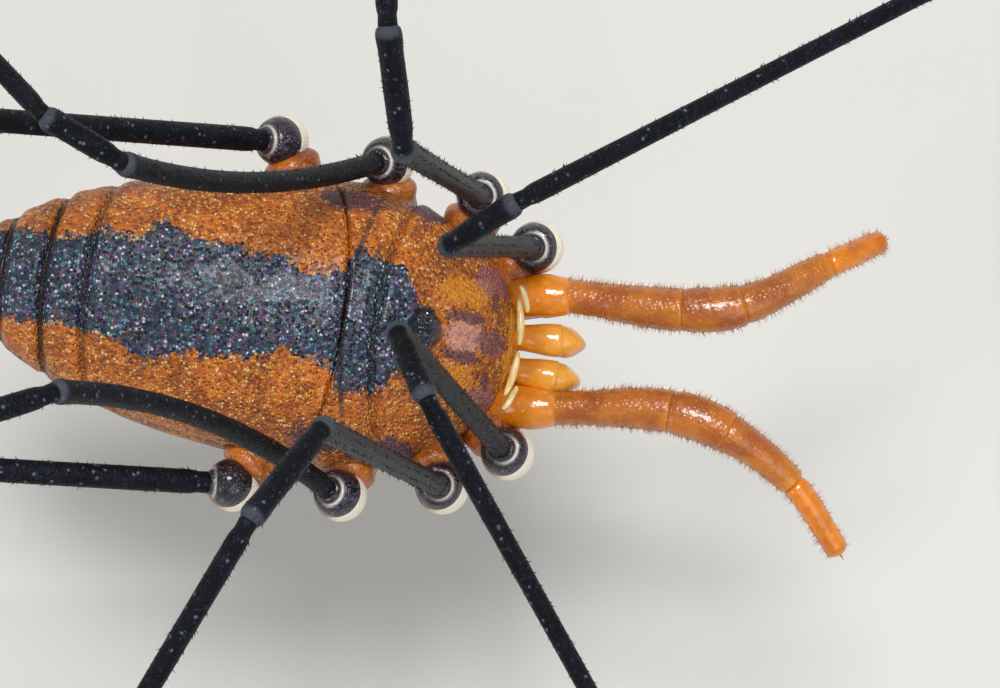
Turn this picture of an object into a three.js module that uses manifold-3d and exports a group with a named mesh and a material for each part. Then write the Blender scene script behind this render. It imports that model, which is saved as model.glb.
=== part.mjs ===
// Harvestman, a male of the orange, dark-saddled kind: a still, life-size model standing on its eight feet.
// Millimetres. +X points to the head, +Y to the animal's left, +Z up. The floor is z = 0.
import * as THREE from 'three';
import { mergeVertices } from 'three/addons/utils/BufferGeometryUtils.js';
import Module from 'manifold-3d';

const wasm = await Module();
wasm.setup();

// Stance: height of the plane that holds the eight trochanters above the floor
const HIP_HEIGHT = 6.0;
// Gaps kept between neighbouring pieces, small because the legs are only half a millimetre thick:
// at the joints of limbs, and where a piece sits against the body
const JOINT_GAP = 0.2;
const GAP = 0.12;

// Body: one oval, cut into the prosoma in front and the opisthosoma behind
const BODY_REAR = -5.4;
const BODY_FRONT = 0.98;
const BODY_WIDEST = -1.0;
const BODY_HALF_WIDTH = 1.62;
const BODY_HIGHEST = -1.6;
const BODY_MID_HEIGHT = -0.15;
const BACK_HEIGHT = 1.12;
const BELLY_DEPTH = 1.08;
const REAR_ROUNDING = { bend: 2.1, close: 0.62 };
const FRONT_ROUNDING = { bend: 1.5, close: 0.45 };
const HEIGHT_ROUNDING = { bend: 2.1, close: 0.5 };
const BODY_SQUARENESS = 0.92;
const BODY_RINGS = 36;
const BODY_SIDES = 32;
// Where the two halves part: on the back, and how far the cut runs rearward down to the belly
const WAIST = -0.97;
const WAIST_SLOPE = 0.42;
// Cross grooves between the segments of the back
const GROOVES = [-4.83, -4.35, -3.88, -0.62];
const GROOVE_DEPTH = 0.07;
const GROOVE_HALF_WIDTH = 0.07;
const GROOVE_FLANK_CURVE = 0.11;

// Eye mound and eyes
const MOUND = { x: -0.08, halfLength: 0.2, halfWidth: 0.25, height: 0.4, sunk: 0.1 };
const EYE = { radius: 0.1, x: -0.05, y: 0.2, rise: 0.12, gap: 0.03 };

// Jaws: a basal segment that points forward and a hand that hangs from it, the pair held a little to the right
const JAW = {
  offset: 0.21, shift: -0.045, radius: 0.165, start: 0.8, wrist: 1.44, reach: 1.62,
  height: -0.02, handRadius: 0.15, tipRadius: 0.09, handDrop: 0.8,
};

// Palps: trochanter, then the joints of each side as they are held, from the base to the tip
const PALP_SEGMENTS = ['femur', 'patella', 'tibia', 'tarsus'];
const PALP_RADII = [[0.22, 0.24], [0.25, 0.25], [0.235, 0.215], [0.18, 0.11]];
const PALP_BASE_RADIUS = 0.24;
const PALP_ROOT = { x: 0.72, y: 0.5, z: -0.32 };
const PALP_JOINTS = {
  left: [[1.36, 0.68, -0.03], [2.76, 0.68, 0.22], [3.41, 0.83, 0.25], [4.27, 1.42, 0.03], [4.87, 1.84, -0.4]],
  right: [[1.38, 0.6, -0.03], [2.78, 0.47, 0.22], [3.43, 0.62, 0.25], [4.22, 1.06, 0.03], [4.86, 1.73, -0.4]],
};

// Blunt ends of every limb: how far in from the end, and how wide, both as shares of its radius.
// On a short limb the ends reach in no further than this share of its length.
const LIMB_END = [[0, 0], [0, 0.5], [0.25, 0.82], [0.8, 1]];
const LIMB_END_LIMIT = 0.4;

// Legs: lengths of one pair, where its trochanters sit, and how each leg of the pair is held. A bow is how far
// the middle of a curved femur stands in over the back.
// A tarsus leaves its metatarsus the share tarsusRise of its own length above the floor.
const COXA = { rootRadius: 0.36, endRadius: 0.33, rootY: 0.42, rootZ: -0.72 };
const TROCHANTER_RADIUS = 0.29;
const LEG_RADII = { femur: [0.26, 0.25], patella: [0.27, 0.27], tibia: [0.25, 0.25], foot: [0.25, 0.15] };
const LEG_PAIRS = [
  {
    name: 'leg_1', coxaX: 0.42, trochanter: [1.0, 1.16], tarsusRise: 0.42,
    femur: 6.6, patella: 1.0, tibia: 5.8, metatarsus: 7.4, tarsus: 11.5,
    left: { knee: [-0.82, -0.79, 6.5], azimuth: 38, tibiaDip: 25 },
    right: { knee: [-1.23, -0.55, 6.45], azimuth: 52, tibiaDip: 25 },
  },
  {
    name: 'leg_2', coxaX: 0.0, trochanter: [0.33, 1.64], tarsusRise: 0.34,
    femur: 11.4, patella: 1.4, tibia: 10.6, metatarsus: 11.8, tarsus: 20.0,
    left: { knee: [-0.64, -0.89, 11.35], azimuth: 101, tibiaDip: 22 },
    right: { knee: [-1.05, 0.5, 11.35], azimuth: 114, tibiaDip: 22 },
  },
  {
    name: 'leg_3', coxaX: -0.48, trochanter: [-0.78, 1.88], tarsusRise: 0.38,
    femur: 6.4, patella: 1.0, tibia: 5.6, metatarsus: 8.0, tarsus: 12.0,
    left: { knee: [-2.6, -1.05, 5.75], azimuth: 140, tibiaDip: 24, bow: 0.22 },
    right: { knee: [-2.95, -0.2, 5.65], azimuth: 137, tibiaDip: 24, bow: 0.28 },
  },
  {
    name: 'leg_4', coxaX: -0.98, trochanter: [-1.99, 1.94], tarsusRise: 0.22,
    femur: 9.3, patella: 1.2, tibia: 8.2, metatarsus: 12.0, tarsus: 16.5,
    left: { knee: [-6.71, -1.18, 6.33], azimuth: 160, tibiaDip: 12 },
    right: { knee: [-8.84, 0.95, 2.7], azimuth: 158, tibiaDip: 8 },
  },
];
// The last share of a tarsus lies along the floor, its underside flattened
const TARSUS_LAID = 0.16;
const SOLE_SINK = 0.55;

const COLOURS = {
  orange: [0xc8670a, 0.55], saddle: [0x2a2f45, 0.45], black: [0x15191a, 0.35], jaw: [0xe08a10, 0.3],
  palp: [0xb8480f, 0.5], palpTip: [0xd9780a, 0.5], eye: [0x0a0a0c, 0.1],
};
const finish = {};
for (const [name, [color, roughness]] of Object.entries(COLOURS)) {
  finish[name] = new THREE.MeshStandardMaterial({ color, roughness, metalness: 0.0 });
}

const vec = (x, y, z) => new THREE.Vector3(x, y, z);
const radians = THREE.MathUtils.degToRad;

// A closed mesh turned into a solid that can be joined and cut
function toSolid(geometry) {
  const bare = geometry.clone();
  bare.deleteAttribute('normal');
  bare.deleteAttribute('uv');
  const merged = mergeVertices(bare, 1e-5);
  const vertProperties = new Float32Array(merged.attributes.position.array);
  const triVerts = new Uint32Array(merged.index.array);
  return new wasm.Manifold(new wasm.Mesh({ numProp: 3, vertProperties, triVerts }));
}

// The largest closed body of a joined or cut solid, as geometry again
function toGeometry(solid) {
  const largest = solid.decompose().sort((a, b) => b.volume() - a.volume())[0];
  const mesh = largest.getMesh();
  const geometry = new THREE.BufferGeometry();
  geometry.setAttribute('position', new THREE.BufferAttribute(new Float32Array(mesh.vertProperties), 3));
  geometry.setIndex(new THREE.BufferAttribute(new Uint32Array(mesh.triVerts), 1));
  geometry.computeVertexNormals();
  return geometry;
}

// Fall-off from 1 at the middle of a form to 0 at its end, rounded by two exponents
function rounded(share, { bend, close }) {
  const held = Math.min(Math.max(share, 0), 1);
  return (1 - held ** bend) ** close;
}

function halfWidthAt(x) {
  const rear = (BODY_WIDEST - x) / (BODY_WIDEST - BODY_REAR);
  const front = (x - BODY_WIDEST) / (BODY_FRONT - BODY_WIDEST);
  return BODY_HALF_WIDTH * (x < BODY_WIDEST ? rounded(rear, REAR_ROUNDING) : rounded(front, FRONT_ROUNDING));
}

function heightAt(x) {
  const rear = (BODY_HIGHEST - x) / (BODY_HIGHEST - BODY_REAR);
  const front = (x - BODY_HIGHEST) / (BODY_FRONT - BODY_HIGHEST);
  return rounded(x < BODY_HIGHEST ? rear : front, HEIGHT_ROUNDING);
}

// How deep the grooves cut the back at a point
function grooveAt(x, y) {
  let depth = 0;
  for (const groove of GROOVES) {
    const away = (x - groove - GROOVE_FLANK_CURVE * y * y) / GROOVE_HALF_WIDTH;
    depth += GROOVE_DEPTH * Math.exp(-away * away);
  }
  return depth;
}

// Stations along the body, closer together at the ends and at each groove
function bodyStations() {
  const stations = new Set();
  for (let ring = 1; ring < BODY_RINGS; ring += 1) {
    const turn = (Math.PI * ring) / BODY_RINGS;
    stations.add((BODY_REAR + BODY_FRONT) / 2 - ((BODY_FRONT - BODY_REAR) / 2) * Math.cos(turn));
  }
  const spread = [...stations].filter((x) => GROOVES.every((g) => Math.abs(x - g) > GROOVE_HALF_WIDTH * 1.6));
  for (const groove of GROOVES) {
    for (const side of [-1.3, 0, 1.3]) {
      spread.push(groove + side * GROOVE_HALF_WIDTH);
    }
  }
  return spread.sort((a, b) => a - b);
}

// The whole body's oval, made larger all round by grow
function bodyForm(grow) {
  const stations = bodyStations();
  const form = new THREE.SphereGeometry(1, BODY_SIDES, stations.length + 1);
  form.rotateZ(Math.PI / 2);
  const place = form.attributes.position;
  const perRing = BODY_SIDES + 1;
  for (let i = 0; i < place.count; i += 1) {
    const ring = Math.floor(i / perRing);
    const pole = ring === 0 || ring === stations.length + 1;
    const x = ring === 0 ? BODY_REAR : ring === stations.length + 1 ? BODY_FRONT : stations[ring - 1];
    const across = place.getY(i);
    const upward = place.getZ(i);
    const turn = Math.atan2(upward, across);
    const round = (value) => Math.sign(value) * Math.abs(value) ** BODY_SQUARENESS;
    const y = pole ? 0 : (halfWidthAt(x) + grow) * round(Math.cos(turn));
    const tall = upward > 0 ? BACK_HEIGHT : BELLY_DEPTH;
    const groove = upward > 0 ? grooveAt(x, y) * Math.sin(turn) : 0;
    const z = pole ? 0 : (tall * heightAt(x) + grow) * round(Math.sin(turn)) - groove;
    const end = pole ? Math.sign(x - BODY_WIDEST) * grow : 0;
    place.setXYZ(i, x + end, y, BODY_MID_HEIGHT + z);
  }
  return form;
}

// A tapered round limb with blunt ends, turned on its axis and laid along a curve
function limb(curve, [from, to], { sides = 8, middle = 1, floor = null } = {}) {
  const length = curve.getLength();
  const [start, end] = [from, to].map((radius) => Math.min(radius / length, LIMB_END_LIMIT));
  const profile = LIMB_END.map(([inset, size]) => new THREE.Vector2(size * from, inset * start));
  for (let ring = 1; ring <= middle; ring += 1) {
    const share = ring / (middle + 1);
    profile.push(new THREE.Vector2(from + (to - from) * share, share));
  }
  for (const [inset, size] of [...LIMB_END].reverse()) {
    profile.push(new THREE.Vector2(size * to, 1 - inset * end));
  }
  const form = new THREE.LatheGeometry(profile, sides);
  const place = form.attributes.position;
  const upright = vec(0, 0, 1);
  for (let i = 0; i < place.count; i += 1) {
    const share = Math.min(Math.max(place.getY(i), 0), 1);
    const centre = curve.getPointAt(share);
    const along = curve.getTangentAt(share);
    const side = vec(1, 0, 0);
    if (Math.abs(along.z) < 0.999) {
      side.crossVectors(along, upright).normalize();
    }
    const over = side.clone().cross(along).normalize();
    const point = centre.addScaledVector(side, place.getX(i)).addScaledVector(over, place.getZ(i));
    place.setXYZ(i, point.x, point.y, floor === null ? point.z : Math.max(point.z, floor));
  }
  return form;
}

// A limb between two joints, half the gap short of each, its middle moved by bow if there is one
function segment(from, to, radii, options, bow = null) {
  const along = to.clone().sub(from).normalize();
  const start = from.clone().addScaledVector(along, JOINT_GAP / 2);
  const end = to.clone().addScaledVector(along, -JOINT_GAP / 2);
  if (bow === null) {
    return limb(new THREE.LineCurve3(start, end), radii, options);
  }
  const pull = start.clone().lerp(end, 0.5).addScaledVector(bow, 2);
  return limb(new THREE.QuadraticBezierCurve3(start, pull, end), radii, { ...options, middle: 4 });
}

const harvestman = new THREE.Group();

function addPiece(name, geometry, material) {
  const piece = new THREE.Mesh(geometry, material);
  piece.name = name;
  harvestman.add(piece);
  return piece;
}

// Coxa: fixed to the underside of the prosoma, it runs out to the socket that holds the trochanter
function coxa(pair, side, grow) {
  const root = vec(pair.coxaX, side * COXA.rootY, COXA.rootZ);
  const hip = vec(pair.trochanter[0], side * pair.trochanter[1], 0);
  const along = hip.clone().sub(root).normalize();
  const end = hip.clone().addScaledVector(along, -(TROCHANTER_RADIUS + GAP - grow));
  const radii = [COXA.rootRadius + grow, COXA.endRadius + grow];
  return limb(new THREE.LineCurve3(root, end), radii, { sides: 14 });
}

// Everything that lies behind the waist's slanting cut, moved by shift along the body
function behindWaist(shift) {
  const outline = new THREE.Shape();
  const deep = 3;
  outline.moveTo(WAIST + shift + WAIST_SLOPE * deep, deep);
  outline.lineTo(WAIST + shift - WAIST_SLOPE * deep, -deep);
  outline.lineTo(BODY_REAR - deep, -deep);
  outline.lineTo(BODY_REAR - deep, deep);
  const block = new THREE.ExtrudeGeometry(outline, { depth: 2 * deep, bevelEnabled: false });
  block.translate(0, 0, -deep);
  block.rotateX(Math.PI / 2);
  block.translate(0, 0, BACK_HEIGHT + BODY_MID_HEIGHT);
  return block;
}

const SIDES = { left: 1, right: -1 };
const body = toSolid(bodyForm(0));
const bodyRoom = toSolid(bodyForm(GAP));

let coxae = null;
let coxaRoom = null;
for (const pair of LEG_PAIRS) {
  for (const side of Object.values(SIDES)) {
    const own = toSolid(coxa(pair, side, 0));
    const room = toSolid(coxa(pair, side, GAP));
    coxae = coxae ? coxae.add(own) : own;
    coxaRoom = coxaRoom ? coxaRoom.add(room) : room;
  }
}

const frontHalf = body.subtract(toSolid(behindWaist(GAP / 2)));
const rearHalf = body.intersect(toSolid(behindWaist(-GAP / 2)));

// Eye mound: an upright oval dome sunk into a socket in the prosoma
const moundTop = BODY_MID_HEIGHT + BACK_HEIGHT * heightAt(MOUND.x);
function moundForm(grow) {
  const form = new THREE.SphereGeometry(1, 16, 10);
  form.rotateX(Math.PI / 2);
  form.scale(MOUND.halfLength + grow, MOUND.halfWidth + grow, MOUND.height + grow);
  form.translate(MOUND.x, 0, moundTop - MOUND.sunk);
  return form;
}

function eyeForm(side, grow) {
  const form = new THREE.SphereGeometry(EYE.radius + grow, 12, 8);
  form.translate(EYE.x, side * EYE.y, moundTop + EYE.rise);
  return form;
}

// Jaws, each a basal segment that points forward and a hand that bends down from it
function jawCurve(side) {
  const y = side * JAW.offset + JAW.shift;
  return new THREE.LineCurve3(vec(JAW.start, y, JAW.height - 0.08), vec(JAW.wrist - GAP / 2, y, JAW.height));
}

function handCurve(side) {
  const y = side * JAW.offset + JAW.shift;
  return new THREE.QuadraticBezierCurve3(
    vec(JAW.wrist + GAP / 2, y, JAW.height),
    vec(JAW.reach + 0.06, y, JAW.height - 0.06),
    vec(JAW.reach - 0.05, y, JAW.height - JAW.handDrop),
  );
}

function palpBase(name, side) {
  const root = vec(PALP_ROOT.x, side * PALP_ROOT.y, PALP_ROOT.z);
  const end = vec(...PALP_JOINTS[name][0]);
  end.y *= side;
  const radii = [PALP_BASE_RADIUS, PALP_BASE_RADIUS];
  return segment(root, end, radii, { sides: 12 });
}

const prosoma = frontHalf.add(coxae).subtract(toSolid(moundForm(GAP)));
addPiece('prosoma', toGeometry(prosoma), finish.orange);
addPiece('opisthosoma', toGeometry(rearHalf.subtract(coxaRoom)), finish.saddle);

let mound = toSolid(moundForm(0));
for (const side of Object.values(SIDES)) {
  mound = mound.subtract(toSolid(eyeForm(side, EYE.gap)));
}
addPiece('ocularium', toGeometry(mound), finish.black);

for (const [name, side] of Object.entries(SIDES)) {
  addPiece(`eye_${name}`, eyeForm(side, 0), finish.eye);

  const jawForm = limb(jawCurve(side), [JAW.radius, JAW.radius], { sides: 12 });
  addPiece(`chelicera_${name}_base`, toGeometry(toSolid(jawForm).subtract(bodyRoom)), finish.jaw);
  const handForm = limb(handCurve(side), [JAW.handRadius, JAW.tipRadius], { sides: 12, middle: 3 });
  addPiece(`chelicera_${name}_hand`, handForm, finish.jaw);

  const base = toSolid(palpBase(name, side)).subtract(bodyRoom).subtract(coxaRoom);
  addPiece(`palp_${name}_trochanter`, toGeometry(base), finish.jaw);
  const joints = PALP_JOINTS[name].map(([x, y, z]) => vec(x, side * y, z));
  PALP_SEGMENTS.forEach((part, i) => {
    const middle = part === 'patella' ? 1 : 2;
    const form = segment(joints[i], joints[i + 1], PALP_RADII[i], { sides: 12, middle });
    addPiece(`palp_${name}_${part}`, form, part === 'tarsus' ? finish.palpTip : finish.palp);
  });
}

// One leg: the femur rises to the knee, then the leg bends out in the upright plane of its azimuth
function addLeg(pair, sideName, side) {
  const stance = pair[sideName];
  const prefix = `${pair.name}_${sideName}`;
  const hip = vec(pair.trochanter[0], side * pair.trochanter[1], 0);
  const globe = new THREE.SphereGeometry(TROCHANTER_RADIUS, 12, 9);
  globe.translate(hip.x, hip.y, hip.z);
  addPiece(`${prefix}_trochanter`, globe, finish.black);

  const rise = vec(stance.knee[0], side * stance.knee[1], stance.knee[2]).normalize();
  const femurStart = hip.clone().addScaledVector(rise, TROCHANTER_RADIUS + GAP - JOINT_GAP / 2);
  const knee = hip.clone().addScaledVector(rise, pair.femur);
  let bow = null;
  if (stance.bow) {
    const inward = vec(0, -side, 0).addScaledVector(rise, side * rise.y).normalize();
    bow = inward.multiplyScalar(stance.bow);
  }
  addPiece(`${prefix}_femur`, segment(femurStart, knee, LEG_RADII.femur, {}, bow), finish.black);

  const turn = radians(stance.azimuth);
  const outward = vec(Math.cos(turn), side * Math.sin(turn), 0);
  const dip = radians(stance.tibiaDip);
  const tibiaWay = outward.clone().multiplyScalar(Math.cos(dip)).setZ(-Math.sin(dip));
  const patellaWay = rise.clone().add(tibiaWay).normalize();
  const tibiaStart = knee.clone().addScaledVector(patellaWay, pair.patella);
  addPiece(`${prefix}_patella`, segment(knee, tibiaStart, LEG_RADII.patella), finish.black);

  const ankle = tibiaStart.clone().addScaledVector(tibiaWay, pair.tibia);
  addPiece(`${prefix}_tibia`, segment(tibiaStart, ankle, LEG_RADII.tibia), finish.black);
  addPiece(`${prefix}_foot`, footForm(pair, ankle, outward), finish.black);
}

// Metatarsus and tarsus: down to the floor in one long bend, the end of the tarsus laid on its flat sole
function footForm(pair, ankle, outward) {
  const floor = -HIP_HEIGHT;
  const sole = floor + LEG_RADII.foot[1] * SOLE_SINK;
  const heel = sole + pair.tarsus * pair.tarsusRise;
  const dip = Math.asin((ankle.z - heel) / pair.metatarsus);
  const start = ankle.clone().addScaledVector(outward, (Math.cos(dip) * JOINT_GAP) / 2);
  start.z -= (Math.sin(dip) * JOINT_GAP) / 2;
  const bend = ankle.clone().addScaledVector(outward, Math.cos(dip) * pair.metatarsus).setZ(heel);
  const laid = pair.tarsus * TARSUS_LAID;
  const free = pair.tarsus - laid;
  const run = Math.sqrt(free * free - (heel - sole) ** 2);
  const shin = ankle.clone().lerp(bend, 0.5);
  const sag = bend.clone().addScaledVector(outward, run * 0.5).setZ(sole + (heel - sole) * 0.36);
  const touch = bend.clone().addScaledVector(outward, run).setZ(sole);
  const rest = touch.clone().addScaledVector(outward, laid * 0.5);
  const tip = touch.clone().addScaledVector(outward, laid);
  const curve = new THREE.CatmullRomCurve3([start, shin, bend, sag, touch, rest, tip], false, 'centripetal');
  curve.arcLengthDivisions = 800;
  return limb(curve, LEG_RADII.foot, { middle: 12, floor });
}

for (const pair of LEG_PAIRS) {
  for (const [sideName, side] of Object.entries(SIDES)) {
    addLeg(pair, sideName, side);
  }
}

// The origin lies on the floor below the middle of the whole animal's span
const span = new THREE.Box3().setFromObject(harvestman, true);
const middle = span.getCenter(new THREE.Vector3());
harvestman.position.set(-middle.x, -middle.y, -span.min.z);
harvestman.updateMatrixWorld(true);

export default harvestman;
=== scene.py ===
"""Harvestman: the looks of a still, life-size animal, built as surfaces around the solid model.

All shapes are worked out in millimetres in the body's own frame and moved to the model's frame, in metres, at
the end. The body's frame has x to the head, y to the left and z up. Its origin is on the midline below the
eye mound, at the height of the leg sockets.
"""

import logging
import math
from collections.abc import Callable
from dataclasses import dataclass, field
from enum import Enum

import bpy
import numpy as np
from mathutils import Matrix, Vector


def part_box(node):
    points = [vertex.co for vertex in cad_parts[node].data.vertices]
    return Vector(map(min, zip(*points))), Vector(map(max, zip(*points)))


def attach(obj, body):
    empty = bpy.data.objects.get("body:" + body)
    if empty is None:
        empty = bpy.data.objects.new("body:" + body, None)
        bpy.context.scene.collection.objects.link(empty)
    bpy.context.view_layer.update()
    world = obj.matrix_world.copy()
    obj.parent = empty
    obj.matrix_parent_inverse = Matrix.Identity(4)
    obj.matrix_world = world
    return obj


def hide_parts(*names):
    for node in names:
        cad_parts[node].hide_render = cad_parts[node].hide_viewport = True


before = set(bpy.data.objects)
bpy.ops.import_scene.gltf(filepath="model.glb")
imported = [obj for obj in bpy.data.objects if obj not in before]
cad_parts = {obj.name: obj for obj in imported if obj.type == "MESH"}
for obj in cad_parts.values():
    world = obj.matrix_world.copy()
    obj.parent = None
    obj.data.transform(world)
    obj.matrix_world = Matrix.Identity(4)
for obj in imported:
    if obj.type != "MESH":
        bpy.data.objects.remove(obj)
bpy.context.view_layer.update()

MM = 0.001
LOG = logging.getLogger("harvestman")

Array = np.ndarray
Tree = bpy.types.NodeTree
Node = bpy.types.Node
Socket = bpy.types.NodeSocket
Place = tuple[float, float, float]
# For each band of a random draw its start, a grain's colour, and how much of the ground that covers
Grains = tuple[tuple[float, str, float], ...]
# A height above a skin, worked out from two arrays
Relief = Callable[[Array, Array], Array]

# The picture's width in pixels, and its scale on the animal's back
PICTURE_WIDTH = 1000
PIXELS_PER_MM = 90.0

# Directions in the body's frame
UP = np.array([0, 0, 1.0])
LEFTWARD = np.array([0, 1.0, 0])


def centre_of(node: str) -> Array:
    """Middle of a solid's box, in millimetres.

    Args:
        node: name of the solid.

    Returns:
        The point halfway between the box's lowest and highest corners.
    """
    low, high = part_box(node)
    return (np.array(low) + np.array(high)) / 2 / MM


# The body's frame is tied to the solids by the first pair of hips, which lie this far before its origin
FIRST_HIP_X = 1.0
LEFT_HIP = centre_of("leg_1_left_trochanter")
RIGHT_HIP = centre_of("leg_1_right_trochanter")
BODY_ORIGIN = np.array([LEFT_HIP[0] - FIRST_HIP_X, (LEFT_HIP[1] + RIGHT_HIP[1]) / 2, LEFT_HIP[2]])
FLOOR_Z = -BODY_ORIGIN[2]


class Side(Enum):
    """The animal's own sides, as the sign of y."""

    LEFT = 1
    RIGHT = -1

    @property
    def label(self) -> str:
        """The side's name in lower case."""
        return self.name.lower()


def linear(colour: str) -> tuple[float, float, float, float]:
    """Turns an sRGB hex colour into linear light.

    Each channel c becomes c / 12.92 where it is small and ((c + 0.055) / 1.055) ** 2.4 elsewhere.

    Args:
        colour: six hex digits after a hash.

    Returns:
        Red, green, blue and an alpha of 1.
    """
    channels = [int(colour[i:i + 2], 16) / 255 for i in (1, 3, 5)]
    values = [c / 12.92 if c <= 0.04045 else ((c + 0.055) / 1.055) ** 2.4 for c in channels]
    return (*values, 1.0)


def add_node(tree: Tree, kind: str, inputs: dict | None = None, **settings: object) -> Node:
    """Adds one shader node with its settings and links.

    Args:
        tree: the node tree.
        kind: the node's type name, without ShaderNode before it.
        inputs: input name or number to a value, or to the socket that feeds it.
        settings: the node's own settings.

    Returns:
        The new node.
    """
    node = tree.nodes.new(f"ShaderNode{kind}")
    for name, value in settings.items():
        setattr(node, name, value)
    for name, value in (inputs or {}).items():
        if isinstance(value, Socket):
            tree.links.new(value, node.inputs[name])
        else:
            node.inputs[name].default_value = value
    return node


# Surfaces


@dataclass
class Surface:
    """Closed patches of a piece, in millimetres in the body's frame.

    Attributes:
        points: one row per point.
        faces: arrays of triangles and of four-sided faces, as rows of point numbers.
        marks: values per point that the finishes read.
        roots: for bristles, the place of each point's root on the skin's unwrap, else None.
    """

    points: Array
    faces: list[Array]
    marks: dict[str, Array] = field(default_factory=dict)
    roots: Array | None = None

    def outward(self) -> "Surface":
        """Turns the faces outwards: then the sum of a . (b x c) over the triangles a, b, c is positive.

        Returns:
            The surface itself.
        """
        volume = 0.0
        middle = self.points.mean(axis=0)
        for block in self.faces:
            corners = self.points[block] - middle
            for last in range(2, block.shape[1]):
                crossed = np.cross(corners[:, last - 1], corners[:, last])
                volume += np.einsum("ij,ij->", corners[:, 0], crossed)
        if volume < 0:
            self.faces = [block[:, ::-1] for block in self.faces]
        return self


def joined(parts: list[Surface]) -> Surface:
    """Puts several surfaces into one, without merging their points.

    Args:
        parts: the surfaces.

    Returns:
        One surface with every part's points, faces and marks; a mark a part lacks is 0 there.
    """
    names = sorted({name for part in parts for name in part.marks})
    offsets = np.cumsum([0] + [len(part.points) for part in parts])
    faces = [block + start for part, start in zip(parts, offsets) for block in part.faces]
    marks = {
        name: np.concatenate([part.marks.get(name, np.zeros(len(part.points))) for part in parts])
        for name in names
    }
    roots = None
    if all(part.roots is not None for part in parts):
        roots = np.concatenate([part.roots for part in parts])
    return Surface(np.concatenate([part.points for part in parts]), faces, marks, roots)


def closed_grid(rings: Array, marks: dict[str, Array] | None = None) -> Surface:
    """Skins a stack of rings and closes both ends on a point at the middle of the end ring.

    Args:
        rings: points as (ring, place round the ring, xyz).
        marks: values as (ring, place round the ring).

    Returns:
        The closed surface.
    """
    count, around = rings.shape[:2]
    number = np.arange(count * around).reshape(count, around)
    following = np.roll(number, -1, axis=1)
    quads = np.stack([number[:-1], following[:-1], following[1:], number[1:]], axis=-1).reshape(-1, 4)
    first = np.full(around, count * around)
    caps = [
        np.stack([following[0], number[0], first], axis=-1),
        np.stack([number[-1], following[-1], first + 1], axis=-1),
    ]
    ends = np.stack([rings[0].mean(axis=0), rings[-1].mean(axis=0)])
    points = np.concatenate([rings.reshape(-1, 3), ends])
    kept = {}
    for name, value in (marks or {}).items():
        full = np.broadcast_to(value, (count, around))
        kept[name] = np.concatenate([full.reshape(-1), [full[0].mean(), full[-1].mean()]])
    return Surface(points, [quads, *caps], kept).outward()


def ripple(points: Array, spacing: float, seed: int) -> Array:
    """A smooth, repeatable unevenness: the mean of seven sine waves in random directions, from -1 to 1.

    Args:
        points: where to read it, in millimetres.
        spacing: the waves' mean length, in millimetres.
        seed: which unevenness.

    Returns:
        One value per point.
    """
    draw = np.random.default_rng(seed)
    total = np.zeros(points.shape[:-1])
    waves = 7
    for _ in range(waves):
        way = draw.normal(size=3)
        way *= 2 * math.pi / (np.linalg.norm(way) * spacing * draw.uniform(0.7, 1.4))
        total += np.sin(points @ way + draw.uniform(0, 2 * math.pi))
    return total / waves


def bell(distance: Array, width: float) -> Array:
    """A smooth bump: e to the power of minus the square of distance over width.

    Args:
        distance: how far from the bump's middle.
        width: the distance at which it has fallen to about a third.

    Returns:
        Values from 0 to 1.
    """
    return np.exp(-((distance / width) ** 2))


def smooth_step(value: Array, low: float, high: float) -> Array:
    """Rises from 0 at low to 1 at high as 3 t^2 - 2 t^3.

    Args:
        value: what is tested.
        low: where the rise starts.
        high: where it ends.

    Returns:
        Values from 0 to 1.
    """
    share = np.clip((value - low) / (high - low), 0, 1)
    return share * share * (3 - 2 * share)


def quarter_round(share: Array, least: float = 0.0) -> Array:
    """Height of a quarter circle of radius 1: sqrt(1 - (1 - share)^2).

    Args:
        share: distance from the circle's edge, as a share of its radius.
        least: the least value under the root.

    Returns:
        Values from 0 to 1.
    """
    return np.sqrt(np.clip(1 - (1 - np.clip(share, 0, 1)) ** 2, least, 1))


def unit_vector(vector: Array) -> Array:
    """The vector divided by its length."""
    return vector / np.linalg.norm(vector)


def turns(sides: int) -> Array:
    """Angles evenly spaced round a ring, from 0 to just short of a whole turn."""
    return np.arange(sides) * 2 * math.pi / sides


def distances(path: Array) -> Array:
    """How far along a path each of its points lies: the running sum of the steps' lengths."""
    return np.concatenate([[0], np.cumsum(np.linalg.norm(np.diff(path, axis=0), axis=1))])


def points_at(wanted: Array, along: Array, points: Array) -> Array:
    """Points or directions between the ones given along a path, each coordinate by a straight line.

    Args:
        wanted: distances along the path to read at.
        along: distances at which the points are given.
        points: the given points, one row each.

    Returns:
        One point for each wanted distance.
    """
    return np.stack([np.interp(wanted, along, points[:, axis]) for axis in range(3)], axis=-1)


def globe_angles(rings: int, sides: int, pole: float) -> tuple[Array, Array]:
    """Angles of a grid over a globe.

    Args:
        rings: how many rings from the top to the bottom.
        sides: points round each ring.
        pole: angle between the poles and the rings next to them.

    Returns:
        The angle down from the top and the angle round, each as (ring, place round the ring).
    """
    down, around = np.meshgrid(np.linspace(pole, math.pi - pole, rings), turns(sides), indexing="ij")
    return down, around


def unit_sphere(rings: int, sides: int, pole: float) -> Array:
    """The unit sphere on a grid: (sin a cos b, sin a sin b, cos a), with a down from the top and b round.

    Args:
        rings: how many rings from the top to the bottom.
        sides: points round each ring.
        pole: angle between the poles and the rings next to them.

    Returns:
        The points as (ring, place round the ring, xyz).
    """
    down, around = globe_angles(rings, sides, pole)
    return np.stack([np.sin(down) * np.cos(around), np.sin(down) * np.sin(around), np.cos(down)], axis=-1)


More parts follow.
